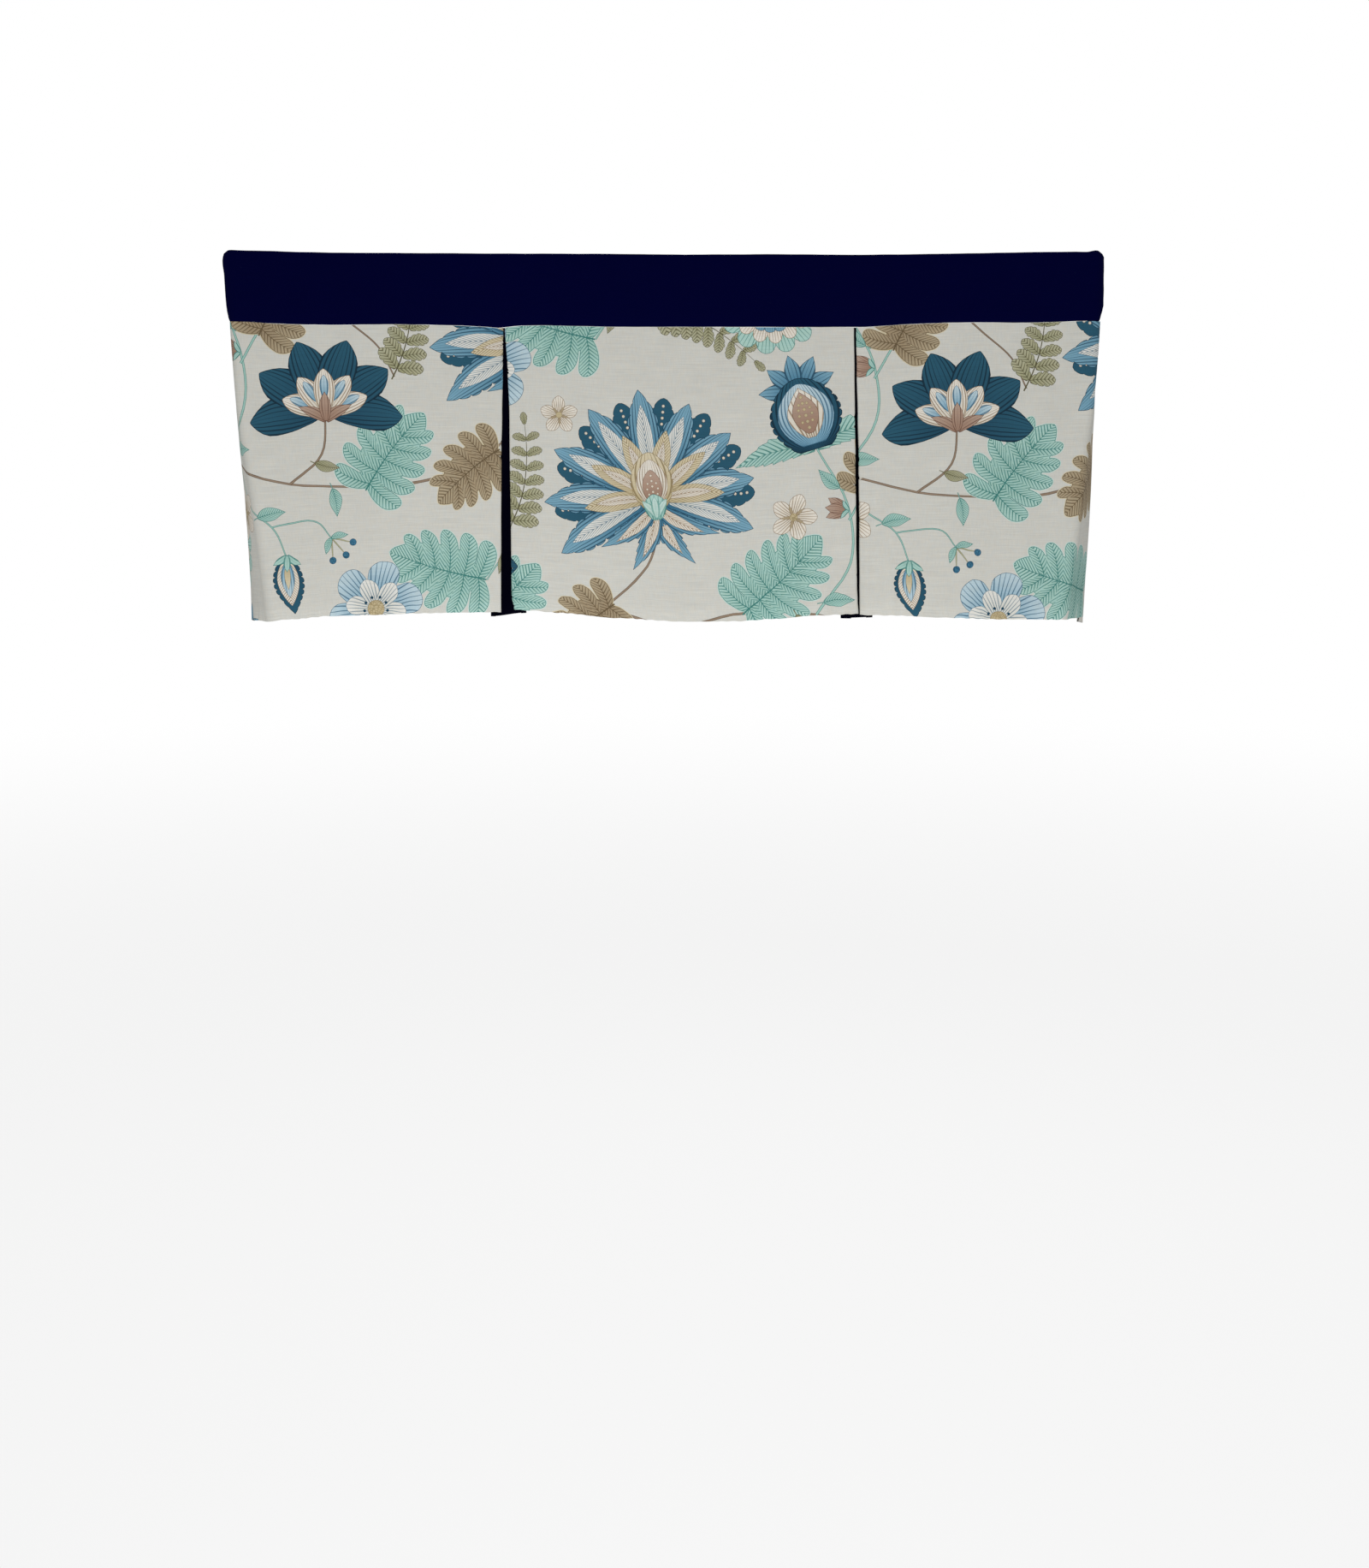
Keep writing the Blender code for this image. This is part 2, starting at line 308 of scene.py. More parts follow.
def fold_radius(share: float) -> float:
    """Radius of a panel's turned-in edge at a share of the drop."""
    return mix(FOLD_RADIUS_TOP, FOLD_RADIUS_HEM, share)


def arc(centre: Points, radius: float, start: float, end: float, steps: int = 14) -> Points:
    """Points on an arc from the start angle to the end angle, both kept."""
    angles = np.linspace(start, end, steps + 1)
    return centre + radius * side_by_side(np.cos(angles), np.sin(angles))


def half_turn(centre: Points, radius: float, side: Side) -> Points:
    """A fold seen from above, from its front round to its back, towards the side."""
    return arc(centre, radius, -math.pi / 2, -math.pi / 2 + side * math.pi)


def rounded_corner(before: Points, corner: Points, after: Points, radius: float) -> Points:
    """Round the corner between two straight stretches with an arc that touches both.

    Args:
        before: a point on the stretch that comes in.
        corner: where the stretches would meet.
        after: a point on the stretch that goes out.
        radius: the arc's radius.

    Returns:
        The arc's points in order.
    """
    back, ahead = unit(before - corner), unit(after - corner)
    half = math.acos(float(np.clip(back @ ahead, -1, 1))) / 2
    middle = unit(back + ahead)
    centre = corner + middle * radius / math.sin(half)
    start, end = (corner + way * radius / math.tan(half) - centre for way in (back, ahead))
    first = math.atan2(start[1], start[0])
    turn = math.atan2(start[0] * end[1] - start[1] * end[0], float(start @ end))
    return arc(centre, radius, first, first + turn)


def belly_between(start: Points, end: Points, share: float) -> Points:
    """A panel's face between its two folds, with its own belly.

    Args:
        start: where the face begins.
        end: where it ends.
        share: the share of the drop.

    Returns:
        The points between the two, in order.
    """
    at = np.linspace(0, 1, FACE_CHORDS + 1)[1:-1]
    points = start + (end - start) * at[:, None]
    belly = FACE_BELLY * np.sin(math.pi * at) * share**BELLY_POWER
    points[:, 1] = face_y(points[:, 0], share) - belly
    return points


def turned_edge(edge_x: float, share: float, side: Side) -> Points:
    """A panel's pleat edge, from its face round to the turned-in layer behind.

    Args:
        edge_x: x that the fold reaches.
        share: the share of the drop.
        side: the panel's side that the fold is at.

    Returns:
        Points of the fold and the end of the turned-in layer.
    """
    radius = fold_radius(share)
    front = float(face_y(edge_x, share))
    centre = np.array([edge_x - side * radius, front + radius])
    end = np.array([edge_x - side * (radius + TURN_IN), front + 2 * radius])
    return np.vstack([half_turn(centre, radius, side), end])


def side_panel_plan(column: str, corner: Corner, share: float) -> Points:
    """Plan of a side panel: its return, its front corner, its face and its turned-in edge.

    Args:
        column: the column of PLEAT_EDGES that holds its pleat edge.
        corner: how its front corner and return hang.
        share: the share of the drop.

    Returns:
        Its points, from the left to the right.
    """
    edge_x = pleat_x(column, share)
    stand = interp(corner.stand, share) * MM
    edge = np.array([edge_x, float(face_y(edge_x, share))])
    front_x = corner.side * (HALF_WIDTH + stand - corner.creep * share**corner.power)
    front = np.array([front_x, float(face_y(corner.side * HALF_WIDTH, share))])
    back_x = corner.side * (HALF_WIDTH + stand + corner.back_out * share)
    back = np.array([back_x, RETURN_DEPTH + corner.back_deep * share])
    turn = rounded_corner(back, front, edge, mix(CORNER_RADIUS_TOP, CORNER_RADIUS_HEM, share))
    at = np.linspace(0, 1, RETURN_CHORDS + 1)[:-1]
    outer = back + (turn[0] - back) * at[:, None]
    bow = RETURN_BOW * share * np.sin(math.pi * at)
    belly = corner.belly * math.sin(math.pi * share) * np.cos(math.pi / 2 * at)
    flare = corner.flare * share**3 * bell(at - FLARE_AT, FLARE_REACH)
    outer[:, 0] += corner.side * (bow + belly - flare)
    inner = turned_edge(edge_x, share, Side(-corner.side))
    path = np.vstack([outer, turn, belly_between(turn[-1], inner[0], share), inner])
    return path if corner.side is Side.LEFT else path[::-1]


def centre_panel_plan(share: float) -> Points:
    """Plan of the centre panel, between its two turned-in edges.

    Args:
        share: the share of the drop.

    Returns:
        Its points, from the left to the right.
    """
    left = turned_edge(pleat_x("centre_left", share), share, Side.LEFT)
    right = turned_edge(pleat_x("centre_right", share), share, Side.RIGHT)
    return np.vstack([left[::-1], belly_between(left[0], right[0], share), right])


def insert_plan(insert: Insert, share: float) -> Points:
    """Plan of an insert: a leg behind each panel's turned-in edge, and the back layer across the gap.

    Args:
        insert: the panel edges that it serves, and its outer folds.
        share: the share of the drop.

    Returns:
        Its points, from the left to the right.
    """
    edges = [pleat_x(column, share) for column in insert.edges]
    outer = (mix(insert.top_left, insert.hem_left, share), mix(insert.top_right, insert.hem_right, share))
    radius = fold_radius(share)
    hollow = mix(INSERT_HOLLOW_TOP, INSERT_HOLLOW_HEM, share)
    back_y = max(float(face_y(x, share)) for x in edges) + 2 * radius + hollow
    turn_radius = (hollow - LEG_SLOPE * share) / 2
    halves = []
    for side, edge_x, outer_x in zip((Side.LEFT, Side.RIGHT), edges, outer):
        seam_x = edge_x + side * (radius + TURN_IN + SEAM_GAP)
        seam = np.array([seam_x, float(face_y(edge_x, share)) + 2 * radius])
        centre = np.array([outer_x - side * turn_radius, back_y - turn_radius])
        halves.append(np.vstack([seam, half_turn(centre, turn_radius, side)]))
    return np.vstack([halves[0], halves[1][::-1]])


# ---- A sheet's surface, and the creases in it ----


class Crease(NamedTuple):
    """A soft trough or ridge, in metres on the cut cloth, from its middle. Depth is positive outwards."""

    across: float
    down: float
    turn: float
    length: float
    width: float
    depth: float


class Ripple(NamedTuple):
    """A quick ripple whose spacing drifts, and that comes and goes. Rates are in radians a metre."""

    rate: float
    drift: float
    drift_rate: float
    swell_rate: float

    def at(self, x: Points, phase: float) -> Points:
        """Its height at places along the cloth, between -1 and 1."""
        quick = np.sin(self.rate * x + self.drift * np.sin(self.drift_rate * x + phase))
        return quick * np.sin(self.swell_rate * x + phase)


HEM_WOBBLE = Ripple(350.0, 1.8, 61.0, 23.0)
HEM_PUCKERS = Ripple(340.0, 2.0, 57.0, 21.0)
# How far the puckers reach from the seam and from the hem, what the seam holds flat, and the sway's depth
SEAM_FADE = 16 * MM
HEM_FADE = 18 * MM
SEAM_FREE = 3 * MM
SWAY = 0.25 * MM


@dataclass
class HangingSurface:
    """The right side of a hanging sheet, as a dense table that is read at any point of the cut cloth.

    Attributes:
        plan: the plan at a share of the drop, from the left to the right.
        hem: the hem's height at shares of the width, from the left.
        corner: how its return hangs, where it has one.
        creases: the listed creases.
        pucker: depth of the small puckers under the seam and at the hem.
        phase: where the puckers start, so that no two sheets match.
    """

    plan: Callable[[float], Points]
    hem: Table
    corner: Corner | None = None
    creases: Sequence[Crease] = ()
    pucker: float = 0.0004
    phase: float = 0.0
    rows: int = 200
    columns: int = 1400
    width: float = field(init=False)
    drop: float = field(init=False)
    places: Points = field(init=False)
    normals: Points = field(init=False)

    def __post_init__(self) -> None:
        """Read the plan row by row and lay the creases in."""
        shares = np.linspace(0, 1, self.rows)
        along = np.linspace(0, 1, self.columns)
        self.places = np.zeros((self.rows, self.columns, 3))
        lengths = []
        for row, share in enumerate(shares):
            path = self.plan(share)
            steps = np.linalg.norm(np.diff(path, axis=0), axis=1)
            run = np.concatenate([[0], np.cumsum(steps)])
            lengths.append(run[-1])
            x, y = (np.interp(along * run[-1], run, column) for column in path.T)
            self.places[row] = side_by_side(x, y, self.height(x, y, share))
        self.width = float(np.mean(lengths))
        middle = self.places[:, self.columns // 2]
        self.drop = float(np.sum(np.linalg.norm(np.diff(middle, axis=0), axis=1)))
        self.normals = self.facing()
        self.places += self.normals * self.relief(along, shares)[:, :, None]
        self.normals = self.facing()

    def height(self, x: Points, y: Points, share: float) -> Points:
        """How high a row's points hang, from the seam's line to the hem's.

        Args:
            x: how far right the row's points are.
            y: how far back they are.
            share: the share of the drop.

        Returns:
            Their z.
        """
        at = (x - x.min()) / (x.max() - x.min())
        fine = np.linspace(0, 1, 101)
        hem_z = np.interp(at, fine, [eased(self.hem, s) for s in fine])
        if self.corner is not None:
            behind = np.clip(y, 0, None) / RETURN_DEPTH
            hem_z = hem_z - self.corner.back_low * behind**2
            hem_z = hem_z - self.corner.tab * ease((y - (RETURN_DEPTH - TAB_WIDTH)) / TAB_STEP)
        hem_z = hem_z + 1.2 * self.pucker * HEM_WOBBLE.at(x, self.phase)
        return mix(seam_z(x) - SEAM_GAP, hem_z, share)

    def relief(self, along: Points, shares: Points) -> Points:
        """How far the cloth stands off its smooth hang: its creases, its puckers and a slow sway.

        Args:
            along: shares of the width.
            shares: shares of the drop.

        Returns:
            Metres along the normal, a row for each share of the drop.
        """
        u = along[None, :] * self.width
        v = shares[:, None] * self.drop
        out = np.zeros((self.rows, self.columns))
        for crease in self.creases:
            c, s = math.cos(crease.turn), math.sin(crease.turn)
            run = (u - crease.across) * c + (v - crease.down) * s
            off = (v - crease.down) * c - (u - crease.across) * s
            out = out + crease.depth * bell(run, crease.length / 2) * bell(off, crease.width / 2)
        ripple = np.sin(u * 190 + self.phase + 2.2 * np.sin(u * 31 + self.phase))
        swell = 0.5 + 0.5 * np.sin(u * 17 + 1.7 * self.phase)
        out = out + self.pucker * ripple * swell * np.exp(-v / SEAM_FADE) * ease(v / SEAM_FREE)
        out = out + self.pucker * HEM_PUCKERS.at(u, self.phase) * np.exp((v - self.drop) / HEM_FADE)
        sway = np.sin(u * 43 + 3 * v + self.phase) * np.sin(v * 11 + self.phase)
        return out + SWAY * sway * shares[:, None]

    def facing(self) -> Points:
        """Outward normals of the table."""
        return unit(np.cross(np.gradient(self.places, axis=0), np.gradient(self.places, axis=1)))

    def read(self, uv: Points) -> tuple[Points, Points]:
        """Place points of the cut cloth.

        Args:
            uv: metres from the left edge and down from the seam.

        Returns:
            Their positions and outward normals.
        """
        column = np.clip(uv[:, 0] / self.width, 0, 1) * (self.columns - 1)
        row = np.clip(uv[:, 1] / self.drop, 0, 1) * (self.rows - 1)
        c = np.minimum(column.astype(int), self.columns - 2)
        r = np.minimum(row.astype(int), self.rows - 2)
        right, low = (column - c)[:, None], (row - r)[:, None]
        both = np.concatenate([self.places, self.normals], axis=2)
        upper = mix(both[r, c], both[r, c + 1], right)
        both = mix(upper, mix(both[r + 1, c], both[r + 1, c + 1], right), low)
        return both[:, :3], unit(both[:, 3:])


# ---- The print: inks, outlines and patches on the flat cloth. Metres, x to the right and y down ----


class Hatch(Enum):
    """How the engraver's fine lines run over a patch of ink."""

    PLAIN = 0
    FAN = 1
    CONTOUR = 2
    FEATHER = 3
    CELLS = 4


PLAIN, FAN, CONTOUR, FEATHER, CELLS = Hatch


class Ink(NamedTuple):
    """A printed colour: its fill at the foot and at the tip of a shape, and its fine lines."""

    fill: str
    tip: str
    line: str


AQUA = Ink("A0C8BE", "B0D4CB", "3F807A")
PALE_AQUA = Ink("B9D6CE", "C6DFD8", "6FA69D")
TAUPE = Ink("A08F74", "B3A488", "6A5A42")
STEEL = Ink("3F7795", "7BA9BF", "1B435A")
SKY = Ink("7AA8C0", "BFD5DE", "35647F")
DEEP = Ink("1D4A61", "28596F", "0A2737")
SAND = Ink("C2B490", "D8CDB0", "8C7A55")
CREAM = Ink("D6D8D1", "E6E6E0", "667F8F")
IVORY = Ink("DDD6C7", "E8E3D8", "8E7558")
OLIVE = Ink("A4A482", "B5B497", "5E5B40")
CLAY = Ink("A08270", "B79E8D", "66493A")
BARK = Ink("93806D", "A08E7C", "5F4E3E")

LINE_CHORDS = 6


@dataclass(frozen=True)
class Place:
    """Where a shape lies on the pattern: its foot, its turn in degrees, its size and its mirroring."""

    x: float
    y: float
    turn: float = 0.0
    size: float = 1.0
    flip: float = 1.0

    def turned(self) -> tuple[float, float]:
        """Cosine and sine of the turn."""
        return math.cos(math.radians(self.turn)), math.sin(math.radians(self.turn))

    def put(self, points: Points) -> Points:
        """Points of the shape's own frame, on the pattern."""
        (c, s), (x, y) = self.turned(), (points * (self.size, self.size * self.flip)).T
        return side_by_side(self.x + c * x - s * y, self.y + s * x + c * y)

    def read(self, points: Points) -> Points:
        """Points of the pattern, in the shape's own frame."""
        (c, s), (x, y) = self.turned(), (points - (self.x, self.y)).T
        return side_by_side(c * x + s * y, (c * y - s * x) * self.flip) / self.size

    def then(self, x: float, y: float = 0.0, turn: float = 0.0) -> Place:
        """A place given in this one's frame."""
        foot = self.put(np.array([[x, y]]))[0]
        return Place(foot[0], foot[1], self.turn + self.flip * turn, self.size, self.flip)

    def polar(self, reach: float, angle: float) -> Place:
        """A place at a distance and an angle in degrees, turned outwards."""
        radians = math.radians(angle)
        return self.then(reach * math.cos(radians), reach * math.sin(radians), angle)


@dataclass(frozen=True)
class Blade:
    """The outline of a petal, leaf or scale along its own axis, from its foot to its tip.

    Attributes:
        length: from the foot to the tip.
        width: half of the greatest width.
        peak: the share of the length where it is widest.
        foot: half-width at the foot, as a share of the greatest.
        tip: how the end tapers, from 0.4, round, through 1, pointed, to 2, drawn out.
        bend: how far the tip leans to the side, in lengths.
        teeth: points or lobes along each side.
        depth: how deep they are, as a share of the half-width.
        slant: how far the sides lean towards the tip, as a share of the half-width.
        lobed: round lobes in place of points.
    """

    length: float
    width: float
    peak: float = 0.5
    foot: float = 0.0
    tip: float = 1.0
    bend: float = 0.0
    teeth: int = 0
    depth: float = 0.0
    slant: float = 0.0
    lobed: bool = False

    def half(self, t: Number) -> Number:
        """Half-width of the outline.

        Args:
            t: shares of the length.

        Returns:
            The half-width at each.
        """
        rise = self.foot + (1 - self.foot) * np.sin(math.pi / 2 * np.clip(t / self.peak, 0, 1)) ** 0.8
        fall = np.cos(math.pi / 2 * np.clip((t - self.peak) / (1 - self.peak), 0, 1)) ** self.tip
        return self.width * np.where(t < self.peak, rise, fall)

    def axis(self, t: Number) -> Points:
        """Points of the leaning middle line at shares of the length."""
        return np.stack([self.length * t, self.bend * self.length * t * np.abs(t)], axis=-1)

    def outline(self) -> Points:
        """The closed outline, once round.

        Returns:
            Points from the foot along one side to the tip, and back along the other.
        """
        t, cut = (1 - np.cos(np.linspace(0, math.pi, 15))) / 2, np.zeros(15)
        if self.teeth:
            within = [0.0, 0.10, 0.32, 0.62, 0.88] if self.lobed else [0.0, 0.45, 0.86]
            depth = [1.0, 0.35, 0.02, 0.0, 0.30] if self.lobed else [1.0, 0.45, 0.0]
            t = np.append(np.add.outer(np.arange(self.teeth), within).ravel() / self.teeth, 1.0)
            cut = np.append(np.tile(depth, self.teeth), 0.0) * self.depth
            cut[0] = 0.0
        half = self.half(t) * (1 - cut)
        lean = self.axis(t) + side_by_side(self.slant * half * (1 - t), 0.0)
        side = side_by_side(0.0, half)
        return np.vstack([lean + side, (lean - side)[-2::-1]])


@dataclass
class Patch:
    """One flat patch of ink, and the frame in which its fine lines run."""

    outline: Points
    ink: Ink
    hatch: Hatch
    place: Place
    blade: Blade = Blade(1.0, 1.0)
    lines: float = 8.0
    stroke: bool = False
    broad: bool = False

    def moved(self, dx: float, dy: float) -> Patch:
        """The patch, shifted."""
        place = replace(self.place, x=self.place.x + dx, y=self.place.y + dy)
        return replace(self, outline=self.outline + (dx, dy), place=place)

    def turned_up(self, fold: float) -> Patch:
        """The patch, mirrored about a level fold."""
        place = replace(self.place, y=2 * fold - self.place.y, turn=-self.place.turn, flip=-self.place.flip)
        return replace(self, outline=self.outline * (1, -1) + (0, 2 * fold), place=place, broad=False)

    def local(self, points: Points) -> Points:
        """Shares of the blade's length and of its half-width at points of the pattern."""
        (x, y), blade = self.place.read(points).T, self.blade
        return side_by_side(x / blade.length, (y - blade.axis(x / blade.length)[:, 1]) / blade.width)


def inset(outline: Points, by: float) -> Points:
    """Draw a closed outline in, and soften how far its sharpest corners go.

    Args:
        outline: its points in order.
        by: the distance.

    Returns:
        As many points.
    """
    after = np.roll(outline, -1, axis=0) - outline
    after /= np.maximum(np.linalg.norm(after, axis=1, keepdims=True), 1e-9)
    before = np.roll(after, 1, axis=0)
    x, y = outline.T
    turn = np.sign(np.sum(x * np.roll(y, -1) - np.roll(x, -1) * y))
    inward = side_by_side(-(after + before)[:, 1], (after + before)[:, 0]) * turn
    size = np.linalg.norm(inward, axis=1, keepdims=True)
    return outline + inward / np.maximum(size, 1e-6) * by * np.minimum(2 / np.maximum(size, 0.8), 2.0)


def smooth_line(points: Table) -> Points:
    """A smooth line through a few points.

    Args:
        points: where it passes.

    Returns:
        The points of the line.
    """
    given = np.array(points, dtype=float)
    ends = [2 * given[0] - given[1], *given, 2 * given[-1] - given[-2]]
    out = []
    for a, b, c, d in zip(ends, ends[1:], ends[2:], ends[3:]):
        for t in np.arange(LINE_CHORDS) / LINE_CHORDS:
            bend = (2 * a - 5 * b + 4 * c - d) * t * t + (3 * b - 3 * c + d - a) * t**3
            out.append(b + 0.5 * ((c - a) * t + bend))
    return np.array([*out, given[-1]])


@dataclass
class Pattern:
    """The patches of one repeat, in the order in which they are printed."""

    patches: list[Patch] = field(default_factory=list)

    def paint(self, outline: Points, ink: Ink, edge: float, **frame_of: object) -> None:
        """Print a closed outline: its edge line, and then its fill.

        Args:
            outline: the outline on the pattern.
            ink: its colours.
            edge: width of its edge line, or 0 for none.
            **frame_of: the patch's own place, blade, hatch, lines and broad.
        """
        if edge:
            self.patches.append(Patch(outline, ink, stroke=True, **{**frame_of, "hatch": PLAIN}))
            outline = inset(outline, edge)
        self.patches.append(Patch(outline, ink, **frame_of))

    def line(self, middle: Points, start: float, end: float, ink: Ink, stroke: bool = True) -> None:
        """Print a line that tapers from one width to another.

        Args:
            middle: its points.
            start: its width at the first.
            end: its width at the last.
            ink: its colours.
            stroke: whether it is printed in the ink's dark line colour.
        """
        x, y = unit(np.gradient(middle, axis=0)).T
        side = side_by_side(-y, x) * np.linspace(start, end, len(middle))[:, None] / 2
        outline = np.vstack([middle + side, (middle - side)[::-1]])
        self.patches.append(Patch(outline, ink, PLAIN, Place(*middle[0]), stroke=stroke))

    def disc(self, place: Place, radius: float, ink: Ink) -> None:
        """Print a dot, a bead or a berry.

        Args:
            place: where its middle lies.
            radius: its radius, as a share of the place's size.
            ink: its colours.
        """
        real = radius * place.size
        outline = place.put(arc(np.zeros(2), radius, 0, math.tau, 8 if real < 3 * MM else 16)[:-1])
        self.paint(outline, ink, 0.4 * MM, hatch=CELLS if real > 5 * MM else PLAIN, place=place)


# ---- The motifs. Each is drawn in its own frame, whose x runs from its foot to its top ----


def fan(count: int, spread: float) -> tuple[float, ...]:
    """Angles of a fan in degrees, from its outer blades to its middle."""
    angles = np.linspace(-spread / 2, spread / 2, count)
    return tuple(sorted(angles, key=lambda angle: -abs(angle)))


def ring(count: int, start: float = 0.0) -> tuple[float, ...]:
    """Angles all the way round, in degrees."""
    return tuple(start + 360 / count * i for i in range(count))


class Inlay(NamedTuple):
    """A narrower blade inside another: shares of its length and width, and where its foot lies."""

    length: float
    width: float
    foot: float
    ink: Ink
    hatch: Hatch = PLAIN
    lines: float = 8.0


class Ring(NamedTuple):
    """Blades set at angles round a point of the motif's axis, each with the same inks and inlays."""

    blade: Blade
    ink: Ink
    hatch: Hatch = PLAIN
    lines: float = 8.0
    angles: tuple[float, ...] = (0.0,)
    x: float = 0.0
    foot: float = 0.0
    lean: float = 0.0
    shorter: float = 1.0
    inlays: tuple[Inlay, ...] = ()
    edge: float = 0.6 * MM
    rib: float = 0.0
    broad: bool = True


class Beads(NamedTuple):
    """Beads at angles round a point of the motif's axis, or in a row along it."""

    radius: float
    ink: Ink
    angles: tuple[float, ...] = (0.0,)
    x: float = 0.0
    reach: tuple[float, ...] = (0.0,)


@dataclass(frozen=True)
class Flower:
    """A motif of rings of blades and of beads, printed in turn. Sizes are shares of its own size."""

    size: float
    layers: tuple[Ring | Beads, ...]

    def draw(self, pattern: Pattern, place: Place) -> None:
        """Print the layers.

        Args:
            pattern: the print so far.
            place: where the motif's foot lies.
        """
        place = replace(place, size=place.size * self.size)
        for layer in self.layers:
            if isinstance(layer, Beads):
                for angle, reach in product(layer.angles, layer.reach):
                    pattern.disc(place.then(layer.x).polar(reach, angle), layer.radius, layer.ink)
                continue
            for number, angle in enumerate(layer.angles):
                size = layer.shorter if number % 2 else 1.0
                bend = layer.blade.bend + layer.lean * angle
                blade = replace(layer.blade, length=layer.blade.length * size, bend=bend)
                self.petal(pattern, place.then(layer.x).polar(layer.foot, angle), blade, layer)

    def petal(self, pattern: Pattern, place: Place, blade: Blade, layer: Ring) -> None:
        """Print one blade with its inlays and its rib.

        Args:
            pattern: the print so far.
            place: where the blade's foot lies.
            blade: its outline.
            layer: the ring that it belongs to.
        """
        look = {"hatch": layer.hatch, "lines": layer.lines, "broad": layer.broad}
        pattern.paint(place.put(blade.outline()), layer.ink, layer.edge, place=place, blade=blade, **look)
        at, inner, ink = place, blade, layer.ink
        for inlay in layer.inlays:
            length, width = blade.length * inlay.length, blade.width * inlay.width
            bend = blade.bend * inlay.length
            inner = replace(blade, length=length, width=width, bend=bend, teeth=0, slant=0.0)
            at, ink = place.then(inlay.foot * blade.length), inlay.ink
            look = {"hatch": inlay.hatch, "lines": inlay.lines}
            pattern.paint(at.put(inner.outline()), ink, 0.45 * MM, place=at, blade=inner, **look)
        if layer.rib:
            middle = at.put(inner.axis(np.linspace(0.04, 0.88, 6)))
            pattern.line(middle, layer.rib, layer.rib * 0.4, ink)


@dataclass(frozen=True)
class Leaf:
    """A broad leaf of round lobes, each with a pale halo, a dark line and a feathered vein."""

    length: float = 0.135
    width: float = 0.060
    lobes: int = 5
    bend: float = 0.12
    ink: Ink = AQUA
    halo: Ink = PALE_AQUA
    edge_inset: float = 1.2 * MM
    fill_inset: float = 1.9 * MM
    feather: float = 5.2 * MM

    def draw(self, pattern: Pattern, place: Place) -> None:
        """Print the halos of all the lobes, then their dark lines, then their fills, and the veins.

        Args:
            pattern: the print so far.
            place: where the leaf's foot lies.
        """
        spine = Blade(self.length, self.width, 0.34, 0.80, 0.85, self.bend)
        parts = [(place, replace(spine, width=0.62 * self.width, foot=0.30, tip=0.6))]
        for lobe, side in product(reversed(range(self.lobes)), (-1, 1)):
            t = 0.02 + 0.78 * lobe / self.lobes
            foot = spine.axis(t)
            angle = 112 - 82 * t
            reach = float(spine.half(t + 0.08)) / math.sin(math.radians(min(max(angle, 52), 84)))
            turn = math.degrees(math.atan(2 * self.bend * t)) + side * angle
            wide = self.length * (0.118 - 0.050 * t) * 5 / self.lobes
            parts.append((place.then(*foot, turn), Blade(reach, wide, 0.70, 0.45, 0.42, -side * 0.22)))
        for by, ink, look in (
            (0.0, self.halo, {"hatch": PLAIN}),
            (self.edge_inset, self.ink, {"hatch": PLAIN, "stroke": True}),
            (self.fill_inset, self.ink, {"hatch": FEATHER, "broad": True}),
        ):
            for at, blade in parts:
                outline, lines = inset(at.put(blade.outline()), by), blade.length / self.feather
                pattern.patches.append(Patch(outline, ink, place=at, blade=blade, lines=lines, **look))
        for at, blade in parts[1:]:
            pattern.line(at.put(blade.axis(np.linspace(0, 0.84, 6))), 1.3 * MM, 0.5 * MM, self.ink)
        pattern.line(place.put(spine.axis(np.linspace(-0.07, 0.92, 9))), 2.2 * MM, 0.6 * MM, self.ink)


@dataclass(frozen=True)
class Frond:
    """A curved frond of lobed leaflets in pairs, each with its rib."""

    length: float = 0.150
    pairs: int = 7
    curl: float = 0.34
    leaflet: float = 0.040

    def draw(self, pattern: Pattern, place: Place) -> None:
        """Print the leaflets from the tip to the foot, and then the rib.

        Args:
            pattern: the print so far.
            place: where the frond's foot lies.
        """
        spine = Blade(self.length, 1.0, bend=self.curl)
        for number in reversed(range(self.pairs + 1)):
            t = (number + 0.4) / (self.pairs + 0.4)
            slope = math.degrees(math.atan(2 * self.curl * t))
            size = self.leaflet * (1 - 0.52 * t)
            foot = spine.axis(t)
            for side in (-1, 1) if number < self.pairs else (0,):
                blade = Blade(size, 0.29 * size, 0.58, 0.35, 0.55, side * 0.14, 4, 0.22, 0.3, True)
                at = place.then(*foot, slope + side * 56)
                look = {"hatch": FEATHER, "lines": 7.0, "place": at, "blade": blade, "broad": True}
                pattern.paint(at.put(blade.outline()), OLIVE, 0.6 * MM, **look)
                pattern.line(at.put(blade.axis(np.linspace(0, 0.8, 5))), 0.8 * MM, 0.3 * MM, OLIVE)
        pattern.line(place.put(spine.axis(np.linspace(-0.06, 1, 12))), 2.0 * MM, 0.6 * MM, OLIVE)


def mirrored(ring: Ring) -> tuple[Ring, Ring]:
    """A ring, and its mirror image about the motif's axis."""
    blade = replace(ring.blade, bend=-ring.blade.bend)
    return ring, ring._replace(blade=blade, angles=tuple(-angle for angle in ring.angles))


